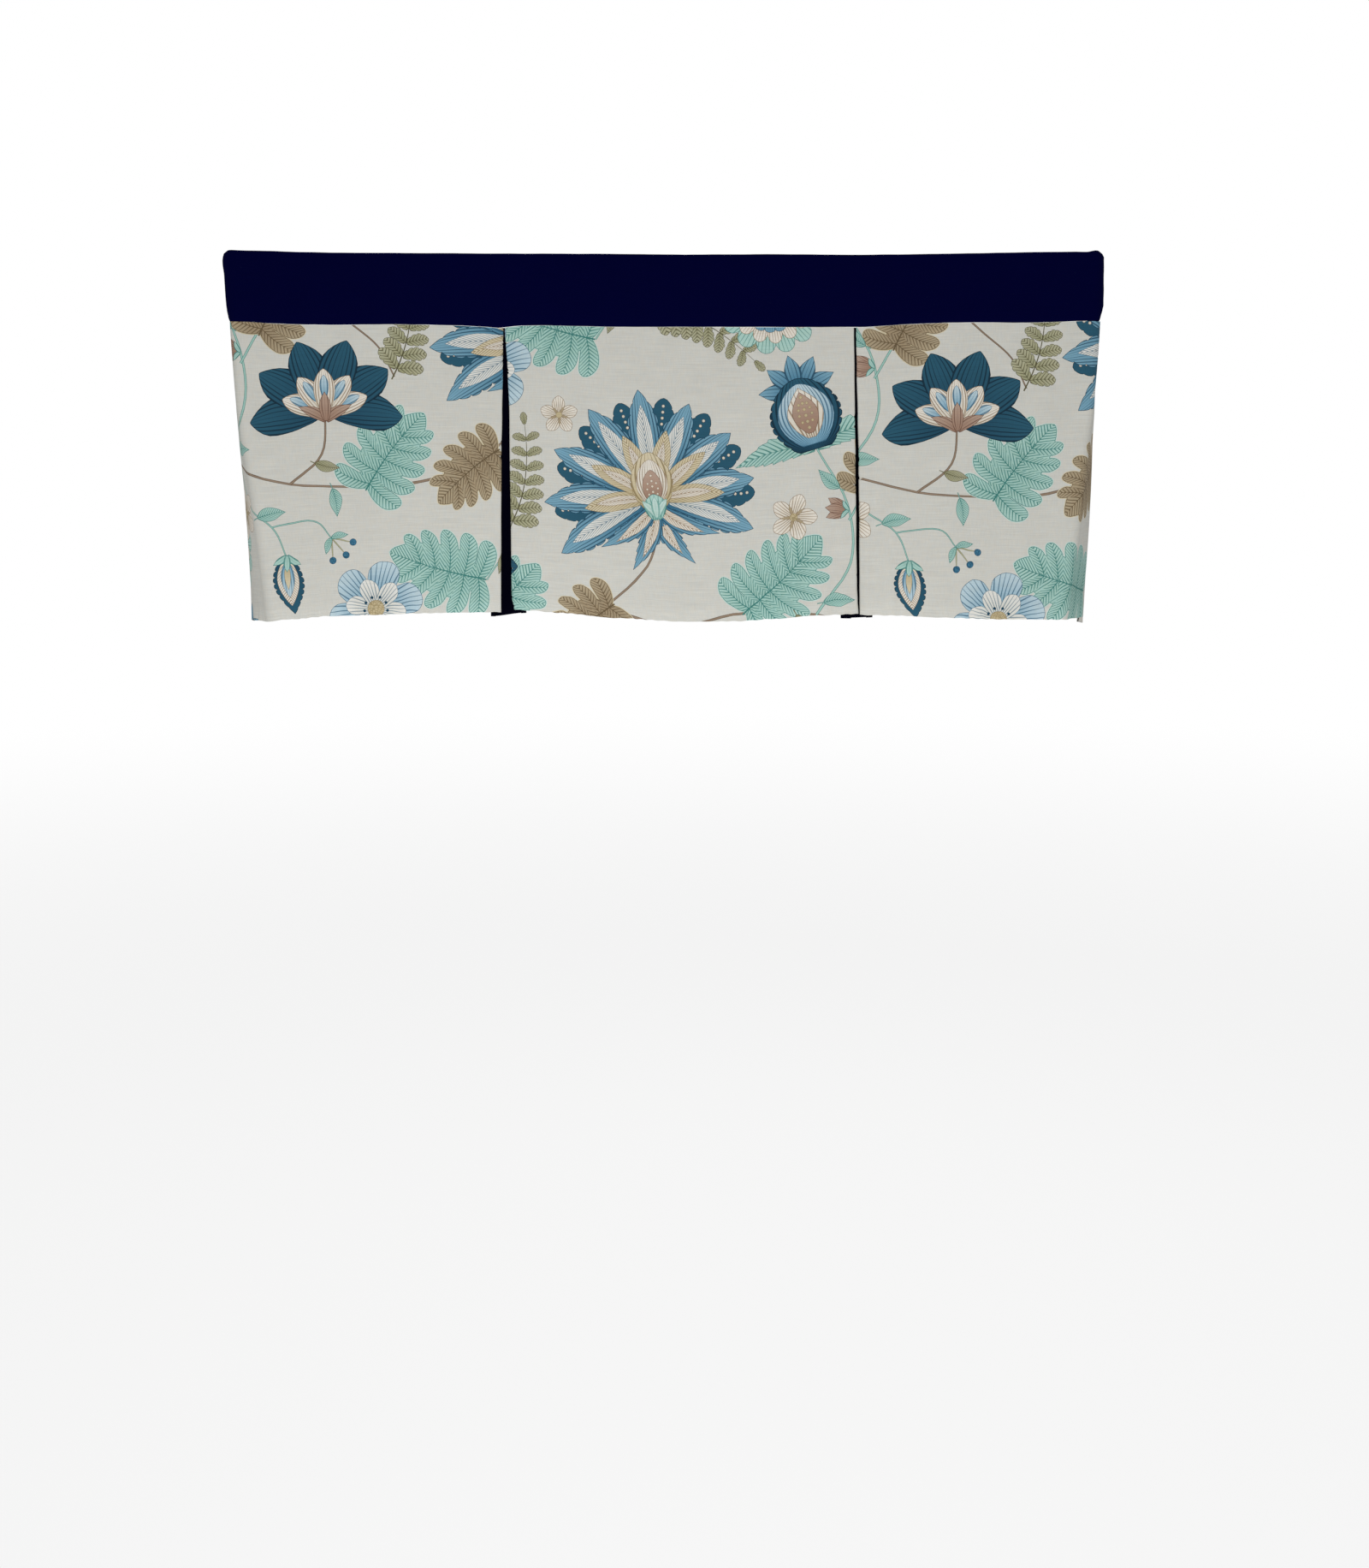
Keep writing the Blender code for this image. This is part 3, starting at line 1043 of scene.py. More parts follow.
HALF_WAY = tuple(-105 + 26.5 * i + 13.2 for i in range(8))
GREAT_FLOWER = Flower(0.152, (
    Ring(Blade(0.84, 0.125, 0.70, 0.30, 0.50, 0, 9, 0.12, 0, True), DEEP, angles=HALF_WAY, foot=0.10),
    Beads(0.015, IVORY, HALF_WAY, reach=(0.70, 0.755, 0.81, 0.865)),
    Ring(
        Blade(0.92, 0.150, 0.60, 0.25, 0.90, 0, 8, 0.16, 0.15, True), STEEL, CONTOUR, 10, fan(9, 212),
        foot=0.10, lean=0.0016, shorter=0.92, edge=0.7 * MM, rib=0.8 * MM,
        inlays=(Inlay(0.80, 0.48, 0.05, CREAM, FEATHER, 15),),
    ),
    Ring(
        Blade(0.60, 0.088, 0.55, 0.35, 0.8), SAND, FEATHER, 15, fan(6, 166),
        foot=0.05, lean=0.0020, inlays=(Inlay(0.74, 0.48, 0.08, IVORY, FEATHER, 12),), rib=0.7 * MM,
    ),
    Ring(
        Blade(0.52, 0.200, 0.46, 0.50, 0.60, 0, 8, 0.07, 0, True), SAND, CONTOUR, 9, x=-0.08,
        inlays=(Inlay(0.80, 0.74, 0.07, IVORY, CONTOUR, 12), Inlay(0.56, 0.46, 0.12, CLAY)),
    ),
    Beads(0.013, IVORY, (0.0,), 0.02, (0.0, 0.05, 0.10, 0.15, 0.20)),
    *(
        Beads(0.012, IVORY, (90.0, -90.0), x, (reach,))
        for x, reach in ((0.05, 0.04), (0.10, 0.05), (0.15, 0.04))
    ),
    *mirrored(Ring(
        Blade(0.62, 0.105, 0.45, 0.4, 1.1, -0.34, 7, 0.18, 0.4), STEEL, CONTOUR, 8, (172, 140),
        x=-0.05, rib=0.8 * MM, inlays=(Inlay(0.76, 0.50, 0.05, IVORY, FEATHER, 12),),
    )),
    Ring(Blade(0.24, 0.105, 0.55, 0.35, 0.6), AQUA, FAN, 4, x=-0.19),
    Ring(Blade(0.20, 0.040, 0.5, 0.3, 1.0), PALE_AQUA, CONTOUR, 3, (-24, 24, 0), x=-0.17, lean=0.008),
))
POMEGRANATE = Flower(0.052, (
    Ring(Blade(0.95, 0.23, 0.5, 0.5, 1.1), STEEL, CONTOUR, 5, fan(5, 128), x=1.55, foot=0.16, lean=0.003),
    *mirrored(Ring(
        Blade(2.1, 0.40, 0.5, 0.2, 1.2, 0.4, 8, 0.18, 0.4), AQUA, FEATHER, 14, (64,), rib=1.0 * MM,
    )),
    Ring(Blade(2.0, 1.0, 0.48, 0.45, 0.55, 0, 9, 0.07, 0, True), DEEP, CONTOUR, 14, edge=0.9 * MM),
    Ring(Blade(1.70, 0.78, 0.48, 0.40, 0.60), SKY, CONTOUR, 16, x=0.15, edge=0.8 * MM),
    Ring(Blade(1.40, 0.50, 0.48, 0.20, 1.00), IVORY, FAN, 5, x=0.34),
    Ring(Blade(1.16, 0.36, 0.48, 0.20, 1.00), CLAY, x=0.46),
    Beads(0.050, SAND, (0.0,), 0.62, (0.0, 0.17, 0.34, 0.51, 0.68, 0.85)),
    *(
        Beads(0.043, SAND, (62.0, -62.0), x, (reach,))
        for x, reach in ((0.72, 0.16), (0.89, 0.20), (1.06, 0.18), (1.22, 0.13))
    ),
))
LOTUS = Flower(0.094, (
    Ring(
        Blade(1.0, 0.27, 0.62, 0.25, 0.80), DEEP, CONTOUR, 9, fan(6, 170),
        foot=0.08, lean=0.0022, edge=0.8 * MM,
    ),
    Ring(
        Blade(0.64, 0.155, 0.58, 0.30, 0.70), IVORY, CONTOUR, 8, fan(5, 124), lean=0.002,
        inlays=(Inlay(0.52, 0.42, 0.34, SKY, CONTOUR, 3),),
    ),
    Ring(Blade(0.42, 0.085, 0.50, 0.40, 1.10), CLAY, CONTOUR, 4, (-42, 42, 0), x=-0.10, lean=0.008),
))
ROSE = Flower(0.062, (
    Ring(Blade(1.0, 0.36, 0.70, 0.30, 0.42, 0.06), SKY, FAN, 5, ring(6, 12), foot=0.10),
    Ring(Blade(0.66, 0.22, 0.66, 0.30, 0.60, -0.05), CREAM, FAN, 4, ring(6, 42), foot=0.05, edge=0.5 * MM),
    Beads(0.20, SAND),
    Beads(0.035, DEEP, ring(9), 0.0, (0.27,)),
))
CARNATION = Flower(0.070, (
    Ring(Blade(0.95, 0.20, 0.80, 0.16, 0.50, 0, 7, 0.10, 0, True), AQUA, FAN, 4, fan(7, 150), foot=0.16),
    Ring(Blade(0.74, 0.15, 0.78, 0.18, 0.50, 0, 6, 0.10, 0, True), IVORY, FAN, 4, fan(6, 118), foot=0.16),
    Ring(Blade(0.54, 0.12, 0.84, 0.18, 0.45), STEEL, FAN, 4, fan(5, 80), foot=0.14),
    Ring(Blade(0.60, 0.16, 0.55, 0.45, 0.70), SAND, FEATHER, 10, x=-0.22),
    Ring(Blade(0.34, 0.07, 0.50, 0.40, 1.00), OLIVE, CONTOUR, 4, (-50, 50), x=-0.20, lean=0.008),
))
POD = Flower(0.084, (
    Ring(
        Blade(1.0, 0.30, 0.42, 0.35, 0.90, 0.16, 9, 0.15, 0, True), DEEP,
        inlays=(
            Inlay(0.80, 0.70, 0.06, IVORY, FEATHER, 15),
            Inlay(0.62, 0.44, 0.09, SKY, CONTOUR, 5),
            Inlay(0.44, 0.20, 0.13, SAND),
        ),
    ),
    Ring(Blade(0.30, 0.07, 0.5, 0.4, 1.0), AQUA, CONTOUR, 3, (-40, 40, 0), x=-0.05, lean=0.008),
))
BLOSSOM = Flower(0.034, (
    Ring(Blade(1.0, 0.34, 0.60, 0.20, 0.60, 0.05), IVORY, FAN, 4, ring(5, 20)),
    Ring(Blade(0.55, 0.07, 0.50, 0.30, 1.00), TAUPE, angles=ring(5, 56), edge=0.3 * MM),
    Beads(0.17, SAND),
))

# What the small sprigs are made of
BERRY_STALKS = Ring(
    Blade(1.0, 0.035, 0.5, 1.0, 0.5), OLIVE, angles=(-38, 38, 0), edge=0.3 * MM, broad=False,
)
BERRY_LEAVES = Ring(Blade(0.80, 0.17, 0.5, 0.3, 1.1), AQUA, FEATHER, 8, (78, -78), lean=-0.004)
CALYX = Ring(Blade(0.5, 0.11, 0.5, 0.4, 1.0), AQUA, CONTOUR, 3, (-34, 34), x=-0.05, lean=0.009)
BUD_PETAL = Blade(1.0, 0.26, 0.45, 0.3, 1.1)
LEAFLET = Blade(1.0, 0.24, 0.42, 0.15, 1.25, 0.22)
LEAFLET_STALK = Blade(0.3, 0.018, 0.5, 1.0, 0.5)


def berries(ink: Ink) -> Flower:
    """Three berries of one colour on stalks, over a small leaf."""
    return Flower(0.030, (BERRY_STALKS, BERRY_LEAVES, Beads(0.17, ink, (-38, 38, 0), 0.0, (1.05,))))


def bud(ink: Ink) -> Flower:
    """A closed bud of three petals of one colour in a calyx."""
    petals = Ring(BUD_PETAL, ink, CONTOUR, 6, (-20, 20, 0), lean=0.005, edge=0.5 * MM)
    return Flower(0.030, (petals, CALYX))


def leaflet(ink: Ink) -> Flower:
    """A small leaf of one colour with a midrib and a stalk."""
    stalk = Ring(LEAFLET_STALK, ink, x=-0.22, edge=0.5 * MM, broad=False)
    return Flower(0.044, (stalk, Ring(LEAFLET, ink, FEATHER, 12, rib=0.9 * MM)))


# ---- The repeat: where the stems and the motifs lie ----

REPEAT_WIDTH = 0.69
REPEAT_LENGTH = 0.56

# Stems: width, ink and points
STEMS = (
    (0.0040, BARK, ((-0.020, 0.515), (0.060, 0.505), (0.140, 0.468), (0.205, 0.405), (0.222, 0.340))),
    (
        0.0040, BARK,
        ((0.140, 0.468), (0.240, 0.488), (0.340, 0.470), (0.440, 0.480), (0.550, 0.508), (0.670, 0.515)),
    ),
    (0.0038, AQUA, ((0.440, 0.480), (0.492, 0.405), (0.488, 0.320), (0.446, 0.240))),
    (0.0034, AQUA, ((0.490, 0.345), (0.530, 0.285), (0.596, 0.245), (0.645, 0.205), (0.666, 0.150))),
    (0.0036, BARK, ((0.550, 0.508), (0.598, 0.468), (0.606, 0.405))),
    (0.0030, BARK, ((0.340, 0.470), (0.372, 0.515), (0.384, 0.585))),
    (0.0028, AQUA, ((0.440, 0.480), (0.472, 0.530), (0.520, 0.566), (0.540, 0.610))),
    (0.0028, BARK, ((0.596, 0.245), (0.640, 0.285), (0.680, 0.320), (0.702, 0.362))),
    (0.0030, AQUA, ((0.240, 0.488), (0.212, 0.535), (0.176, 0.592), (0.138, 0.648))),
    (0.0026, BARK, ((0.176, 0.592), (0.200, 0.605), (0.216, 0.599))),
    (0.0024, AQUA, ((0.240, 0.488), (0.282, 0.512), (0.300, 0.545))),
    (0.0024, AQUA, ((0.520, 0.566), (0.580, 0.560), (0.606, 0.585))),
)

# Motifs: which, x and y of its foot, the way that it points in degrees, and its size and mirroring if not 1
SPRIGS = (
    (Leaf(), 0.128, 0.086, -170),
    (Leaf(0.145, 0.064, 6), 0.345, 0.466, -36, 1.0, -1),
    (Leaf(0.120, 0.054, 5, 0.14, TAUPE, SAND), 0.520, 0.300, -64),
    (Leaf(0.128, 0.058, 5), 0.662, 0.512, -58),
    (Leaf(0.110, 0.050, 5, 0.14, TAUPE, SAND), 0.152, 0.465, 146, 1.0, -1),
    (Frond(0.150, 8, 0.34, 0.042), 0.222, 0.040, 10),
    (Frond(0.140, 7, 0.36, 0.038), 0.012, 0.358, -62, 1.0, -1),
    (LOTUS, 0.606, 0.412, -92, 1.04),
    (ROSE, 0.668, 0.126, -30),
    (POMEGRANATE, 0.446, 0.242, -106),
    (CARNATION, 0.386, 0.030, 72),
    (POD, 0.540, 0.050, 92, 0.92, -1),
    (GREAT_FLOWER, 0.216, 0.310, -98),
    (BLOSSOM, 0.452, 0.548, 10, 1.1),
    (BLOSSOM, 0.412, 0.338, 50),
    (BLOSSOM, 0.082, 0.196, 30, 0.8),
    (berries(CLAY), 0.300, 0.545, 66, 0.95),
    (berries(STEEL), 0.606, 0.025, 50),
    (bud(CLAY), 0.489, 0.330, 188, 1.1),
    (bud(STEEL), 0.596, 0.245, 62, 0.9),
    (leaflet(AQUA), 0.452, 0.462, -14),
    (leaflet(OLIVE), 0.412, 0.478, 66, 0.9),
    (leaflet(AQUA), 0.650, 0.196, 24, 0.9),
    (leaflet(AQUA), 0.212, 0.535, 12, 0.95),
    (leaflet(OLIVE), 0.588, 0.480, 24, 0.8, -1),
    (leaflet(AQUA), 0.500, 0.553, -22, 0.95),
    (leaflet(AQUA), 0.610, 0.516, 70, 0.9),
    (leaflet(AQUA), 0.478, 0.298, -150, 0.9),
    (leaflet(AQUA), 0.372, 0.520, 128, 0.9, -1),
    (leaflet(OLIVE), 0.166, 0.606, 96, 0.8),
)


def draw_repeat() -> list[Patch]:
    """Print one repeat: the stems first, each with a dark line on both sides, and the motifs over them.

    Returns:
        Its patches in printing order.
    """
    pattern = Pattern()
    for width, ink, points in STEMS:
        middle = smooth_line(points)
        pattern.line(middle, width, 0.75 * width, ink)
        pattern.line(middle, width - 1.2 * MM, 0.75 * width - 1.1 * MM, ink, stroke=False)
    for motif, *place in SPRIGS:
        motif.draw(pattern, Place(*place))
    return pattern.patches


def patches_in(patches: list[Patch], low: Points, high: Points) -> list[Patch]:
    """The patches of a piece of cloth, with every repeat that reaches into it.

    Args:
        patches: one repeat's patches, in printing order.
        low: the piece's least x and y on the pattern.
        high: its greatest.

    Returns:
        The patches in printing order, each moved to its repeat.
    """
    found = []
    for patch in patches:
        least, most = patch.outline.min(axis=0), patch.outline.max(axis=0)
        for shift in product(REPEAT_WIDTH * np.arange(-1, 3), REPEAT_LENGTH * np.arange(-1, 3)):
            if np.all(least + shift < high) and np.all(most + shift > low):
                found.append(patch.moved(*shift))
    return found


# ---- From the flat cloth to a closed sheet that hangs ----

CLOTH = 1.0 * MM
HEM_CLOTH = 2.6 * MM
HEM_HEIGHT = 0.0400
HEM_ROLL = 1.2 * MM
PAST_HEM = 1.0 * MM
GROUND = Ink("D3D3CC", "D3D3CC", "9A968E")
# A patch's number of fine lines is stored as a share of this
MOST_LINES = 32.0
# Points nearer than WELD are joined, and mesh lines nearer than SAME are one
WELD = 1e-6
SAME = 1e-5

# How far apart the mesh's lines are
FINE_STEP = 1.3 * MM
CLOSE_STEP = 1.6 * MM
NEAR_STEP = 2.0 * MM
BACK_HEM_STEP = 3.5 * MM
PLAIN_STEP = 4.2 * MM
INSERT_STEP = 5.0 * MM
BACK_STEP = 9.0 * MM
# Where a sheet's mesh is fine, in metres from its edge: at a fold, a side hem, the seam and a front corner
FOLD_REACH = 0.0200
SIDE_HEM_REACH = 0.0170
SEAM_REACH = 0.0120
CORNER_FROM = 0.0740
CORNER_TO = 0.1160


class Stretch(NamedTuple):
    """A stretch of the cloth's width or drop, and how far apart the mesh's lines are in it."""

    start: float
    end: float
    step: float

    def lines(self) -> Points:
        """The positions of its lines, with both ends."""
        return np.linspace(self.start, self.end, max(2, round((self.end - self.start) / self.step) + 1))


def stations(stretches: Sequence[Stretch]) -> Points:
    """The mesh's lines over stretches that follow each other, with each end once."""
    every = np.sort(np.concatenate([stretch.lines() for stretch in stretches]))
    return every[np.concatenate([[True], np.diff(every) > SAME])]


def covers(outline: Points, points: Points) -> Points:
    """Which points lie inside a closed outline, however often it winds round them.

    Args:
        outline: its points in order.
        points: a row for each point to test.

    Returns:
        A truth value for each.
    """
    ax, ay = outline[:, 0][None], outline[:, 1][None]
    bx, by = np.roll(ax, -1), np.roll(ay, -1)
    x, y = points[:, :1], points[:, 1:]
    rises = (ay <= y) & (by > y)
    falls = (ay > y) & (by <= y)
    side = (bx - ax) * (y - ay) - (x - ax) * (by - ay)
    return np.sum((rises & (side > 0)).astype(int) - (falls & (side < 0)).astype(int), axis=1) != 0


@dataclass
class CutCloth:
    """A rectangle of cloth in triangles that follow its print.

    Attributes:
        points: metres from the left edge and down from the top.
        triangles: three point numbers each.
        owner: the number of the patch that each triangle shows, or -1 for the bare ground.
        loop: the point numbers round the edge.
    """

    points: Points
    triangles: Points
    owner: Points
    loop: list[int]


def cut_cloth(
    across: Points, down: Points, patches: Sequence[Patch], edge: Points | None = None
) -> CutCloth:
    """Divide a rectangle of cloth into triangles along its mesh lines and the outlines of its print.

    Args:
        across: x of the mesh lines, from one side to the other.
        down: y of the mesh lines, from the top to the hem.
        patches: the print, in the rectangle's own coordinates.
        edge: points round the edge that must be kept, or None for the ends of the mesh lines.

    Returns:
        The triangles, which point along +z of the flat cloth.
    """
    width, drop = across[-1], down[-1]
    if edge is None:
        sides = ((across, 0.0), (width, down), (across[::-1], drop), (0.0, down[::-1]))
        edge = np.vstack([side_by_side(x, y)[:-1] for x, y in sides])
    inner = np.stack(np.meshgrid(across[1:-1], down[1:-1]), axis=2).reshape(-1, 2)
    groups = [edge, *(patch.outline for patch in patches)]
    points = [Vector(p) for p in np.vstack([*groups, inner])]
    lines = []
    first = 0
    for count in map(len, groups):
        lines += [(first + i, first + (i + 1) % count) for i in range(count)]
        first += count
    verts, _, faces, *_ = delaunay_2d_cdt(points, lines, [], 0, WELD, False)
    flat, triangles = np.array([tuple(v) for v in verts]), np.array([tuple(f) for f in faces])
    corners = flat[triangles]
    ab, ac = corners[:, 1] - corners[:, 0], corners[:, 2] - corners[:, 0]
    turn = ab[:, 0] * ac[:, 1] - ab[:, 1] * ac[:, 0]
    triangles[turn < 0] = triangles[turn < 0][:, ::-1]
    middle = corners.mean(axis=1)
    inside = (middle[:, 0] > 0) & (middle[:, 0] < width) & (middle[:, 1] > 0) & (middle[:, 1] < drop)
    triangles, middle = triangles[inside], middle[inside]
    used, numbers = np.unique(triangles, return_inverse=True)
    triangles = numbers.reshape(-1, 3)
    owner = np.full(len(triangles), -1)
    for number, patch in enumerate(patches):
        low, high = patch.outline.min(axis=0), patch.outline.max(axis=0)
        near = np.nonzero(np.all((middle > low) & (middle < high), axis=1))[0]
        if len(near):
            owner[near[covers(patch.outline, middle[near])]] = number
    return CutCloth(flat[used], triangles, owner, edge_loop(flat[used], triangles))


def edge_loop(points: Points, triangles: Points) -> list[int]:
    """Find the edge of a rectangle of triangles.

    Args:
        points: metres from the left edge and down from the top.
        triangles: three point numbers each, all wound the same way.

    Returns:
        The point numbers round the edge, from the corner at the origin.
    """
    sides = np.vstack([triangles[:, [0, 1]], triangles[:, [1, 2]], triangles[:, [2, 0]]])
    pairs = set(map(tuple, sides.tolist()))
    following = {a: b for a, b in pairs if (b, a) not in pairs}
    start = min(following, key=lambda n: float(points[n].sum()))
    loop = [start]
    while following[loop[-1]] != start:
        loop.append(following[loop[-1]])
    return loop


def rim(front: Points, back: Points) -> list[tuple[int, int, int]]:
    """Triangles between two closed loops that run the same way, with any number of points in each.

    Args:
        front: how far round each point of the first loop lies, from 0 to 1.
        back: the same for the second loop.

    Returns:
        Triangles whose numbers count through the first loop and then the second.
    """
    n, m = len(front), len(back)
    i = j = 0
    faces = []
    while i < n or j < m:
        next_i = front[i + 1] if i + 1 < n else 1.0
        next_j = back[j + 1] if j + 1 < m else 1.0
        if j == m or (i < n and next_i <= next_j):
            faces.append((i % n, (i + 1) % n, n + j % m))
            i += 1
        else:
            faces.append((i % n, n + (j + 1) % m, n + j % m))
            j += 1
    return faces


def round_share(points: Points, width: float, drop: float) -> Points:
    """How far round a rectangle its edge's points lie, as shares from the corner at the origin."""
    steps = np.linalg.norm(np.diff(points, axis=0), axis=1)
    return np.concatenate([[0], np.cumsum(steps)]) / (2 * (width + drop))


def point_normals(places: Points, triangles: Points) -> Points:
    """Smooth normals of a mesh's points, from the triangles round each.

    Args:
        places: where the points are.
        triangles: three point numbers each.

    Returns:
        A row of length 1 for each point.
    """
    corners = places[triangles]
    faces = np.cross(corners[:, 1] - corners[:, 0], corners[:, 2] - corners[:, 0])
    normals = np.zeros_like(places)
    for corner in range(3):
        np.add.at(normals, triangles[:, corner], faces)
    return normals / np.maximum(np.linalg.norm(normals, axis=1, keepdims=True), 1e-12)


def bare(count: int) -> tuple[Points, Points, Points]:
    """The inks and the local coordinates of triangles of bare ground, at each corner."""
    fill, line = [*linear(GROUND.fill), 1.0], [*linear(GROUND.line), 0.0]
    return np.tile(fill, (count, 3, 1)), np.tile(line, (count, 3, 1)), np.zeros((count, 3, 3))


@dataclass
class Skin:
    """One side of a sheet, ready for the mesh: its points in space and on the cloth, and its inks."""

    cut: CutCloth
    patches: Sequence[Patch]
    places: Points
    normals: Points

    def inks(self) -> tuple[Points, Points, Points]:
        """Fill colour, line colour and local coordinates at each triangle corner.

        Returns:
            Colours with the number of fine lines in the line colour's alpha, and (t, s, hatch) vectors.
        """
        fill, line, local = bare(len(self.cut.triangles))
        corners = self.cut.points[self.cut.triangles]
        for number, patch in enumerate(self.patches):
            group = np.nonzero(self.cut.owner == number)[0]
            at = patch.local(corners[group].reshape(-1, 2)).reshape(-1, 3, 2)
            foot, tip, dark = (np.array(linear(code)) for code in patch.ink)
            blend = ease(at[:, :, 0])[:, :, None]
            fill[group, :, :3] = dark if patch.stroke else mix(foot, tip, blend)
            line[group, :, :3] = dark
            line[group, :, 3] = patch.lines / MOST_LINES
            local[group, :, :2] = at
            local[group, :, 2] = patch.hatch.value
        return fill, line, local


@dataclass
class Sheet:
    """A sheet with a printed or plain right side, a wrong side, and the thin edge between them."""

    name: str
    surface: HangingSurface
    front: Skin
    back: Skin
    reverse_from: float

    def build(self, materials: Sequence[Material]) -> Object:
        """Make the closed mesh with its attributes, its maps and its normals.

        Args:
            materials: the right side's material and the wrong side's.

        Returns:
            The object, at the origin.
        """
        front, back = self.front, self.back
        width, drop = self.surface.width, self.surface.drop
        start = len(front.places)
        loops = [round_share(skin.cut.points[skin.cut.loop], width, drop) for skin in (front, back)]
        ring = np.array([*front.cut.loop, *(start + n for n in back.cut.loop)])
        edge = ring[np.array(rim(*loops))]
        faces = np.vstack([front.cut.triangles[:, ::-1], start + back.cut.triangles, edge])
        places = np.vstack([front.places, back.places])
        flat = np.vstack([front.cut.points, back.cut.points])
        mesh = bpy.data.meshes.new(self.name)
        mesh.from_pydata(places, [], faces, shade_flat=False)
        for material in materials:
            mesh.materials.append(material)
        wrong_side = np.zeros(len(faces), dtype=int)
        middles = back.cut.points[back.cut.triangles].mean(axis=1)[:, 1]
        first = len(front.cut.triangles)
        wrong_side[first : first + len(middles)] = middles < self.reverse_from
        mesh.polygons.foreach_set("material_index", wrong_side)
        self.paint(mesh, flat[faces.ravel()], len(edge))
        normals = np.vstack([front.normals, back.normals])
        mesh.normals_split_custom_set_from_vertices(normals.tolist())
        return in_scene(self.name, mesh)

    def paint(self, mesh: bpy.types.Mesh, flat: Points, edge_faces: int) -> None:
        """Store the inks, the cloth's own map in metres, and the map that the inks are baked on.

        Args:
            mesh: its right side first, then its wrong side and its edge.
            flat: where each triangle corner lies on the cut cloth.
            edge_faces: how many triangles its edge has.
        """
        sides = [skin.inks() for skin in (self.front, self.back)]
        sides[0] = tuple(side[:, ::-1] for side in sides[0])
        fill, line, local = (np.vstack(parts) for parts in zip(*sides, bare(edge_faces)))
        for name, kind, key, values in (
            ("print_fill", "FLOAT_COLOR", "color", fill),
            ("print_line", "FLOAT_COLOR", "color", line),
            ("print_local", "FLOAT_VECTOR", "vector", local),
        ):
            mesh.attributes.new(name, kind, "CORNER").data.foreach_set(key, values.ravel())
        # On this map the wrong side lies past the right side, a little smaller, and the edge in a corner
        bake = flat / self.surface.width
        split = 3 * len(self.front.cut.triangles)
        shelf = self.surface.drop / self.surface.width + 0.01
        small = (0.99 - shelf) / shelf
        bake[split:] = bake[split:] * min(small, 0.98) + (0.0, shelf)
        bake[-3 * edge_faces :] = 0.97 + flat[-3 * edge_faces :] * 0.02
        cloth = (0.0, self.surface.drop) + flat * (1, -1)
        for name, values in (("Cloth", cloth), ("OFBake", np.clip(bake, 0.002, 0.998))):
            mesh.uv_layers.new(name=name).data.foreach_set("uv", values.ravel())


@dataclass
class HungPiece:
    """A panel or an insert.

    Attributes:
        name: the solid's name.
        surface: its right side.
        across: the mesh's lines over its width.
        down: the mesh's lines over its drop.
        print_from: the place on the pattern where its top left corner was cut, or None for plain cloth.
        side_hem: the side that has a side hem.
    """

    name: str
    surface: HangingSurface
    across: Sequence[Stretch]
    down: Sequence[Stretch]
    print_from: tuple[float, float] | None = None
    side_hem: Side = Side.NEITHER

    def thickness(self, flat: Points) -> Points:
        """How thick the cloth is: more in the bottom hem and in the return's side hem.

        Args:
            flat: points of the cut cloth.

        Returns:
            The thickness at each.
        """
        down = ease((flat[:, 1] - (self.surface.drop - HEM_HEIGHT)) / HEM_ROLL)
        side = 0.0
        if self.side_hem is Side.LEFT:
            side = 1 - ease((flat[:, 0] - SIDE_HEM) / HEM_ROLL)
        if self.side_hem is Side.RIGHT:
            side = ease((flat[:, 0] - (self.surface.width - SIDE_HEM)) / HEM_ROLL)
        return mix(CLOTH, HEM_CLOTH, np.maximum(down, side))

    def skins(self, repeat: list[Patch]) -> tuple[Skin, Skin]:
        """Cut both sides of the cloth. The hem's turn-up shows the right side of the cloth behind.

        Args:
            repeat: the patches of one repeat, or none for plain cloth.

        Returns:
            The right side and the wrong side.
        """
        width, drop = self.surface.width, self.surface.drop
        across, down = stations(self.across), stations(self.down)
        origin = np.array(self.print_from or (0.0, 0.0))
        found = patches_in(repeat, origin, origin + np.array([width, drop + HEM_HEIGHT]))
        shown = [patch.moved(*-origin) for patch in found]
        face = [patch for patch in shown if patch.outline[:, 1].min() < drop]
        cut = cut_cloth(across, down, face)
        places, normals = self.surface.read(cut.points)
        front = Skin(cut, face, places, normals)
        behind = [patch for patch in face if patch.broad and not patch.stroke]
        turned = [patch.turned_up(drop) for patch in shown if patch.outline[:, 1].max() > drop]
        hem_line = drop - HEM_HEIGHT
        past = drop + PAST_HEM
        hem = np.array([[0, hem_line], [width, hem_line], [width, past], [0, past]])
        cover = Patch(hem, GROUND, PLAIN, Place(0, 0))
        hidden = [*behind, cover, *turned] if repeat else [cover]
        plain = Stretch(0, hem_line - 2 * HEM_ROLL, BACK_STEP)
        rows = stations([plain, Stretch(hem_line - HEM_ROLL, drop, BACK_HEM_STEP)])
        rows = np.unique(np.concatenate([rows, [hem_line - HEM_ROLL, hem_line, hem_line + HEM_ROLL]]))
        back_cut = cut_cloth(across, rows, hidden, cut.points[cut.loop])
        places, normals = self.surface.read(back_cut.points)
        thick = self.thickness(back_cut.points)[:, None]
        places -= normals * thick
        back = Skin(back_cut, hidden, places, point_normals(places, back_cut.triangles))
        return front, back

    def build(self, repeat: list[Patch], materials: Sequence[Material]) -> Object:
        """Args:
            repeat: the print, or none.
            materials: the right side's material and the wrong side's.

        Returns:
            The piece.
        """
        front, back = self.skins(repeat)
        sheet = Sheet(self.name + "_cloth", self.surface, front, back, self.surface.drop - HEM_HEIGHT)
        obj = sheet.build(materials)
        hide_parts(self.name)
        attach(obj, "root")
        return obj


# ---- Node trees ----


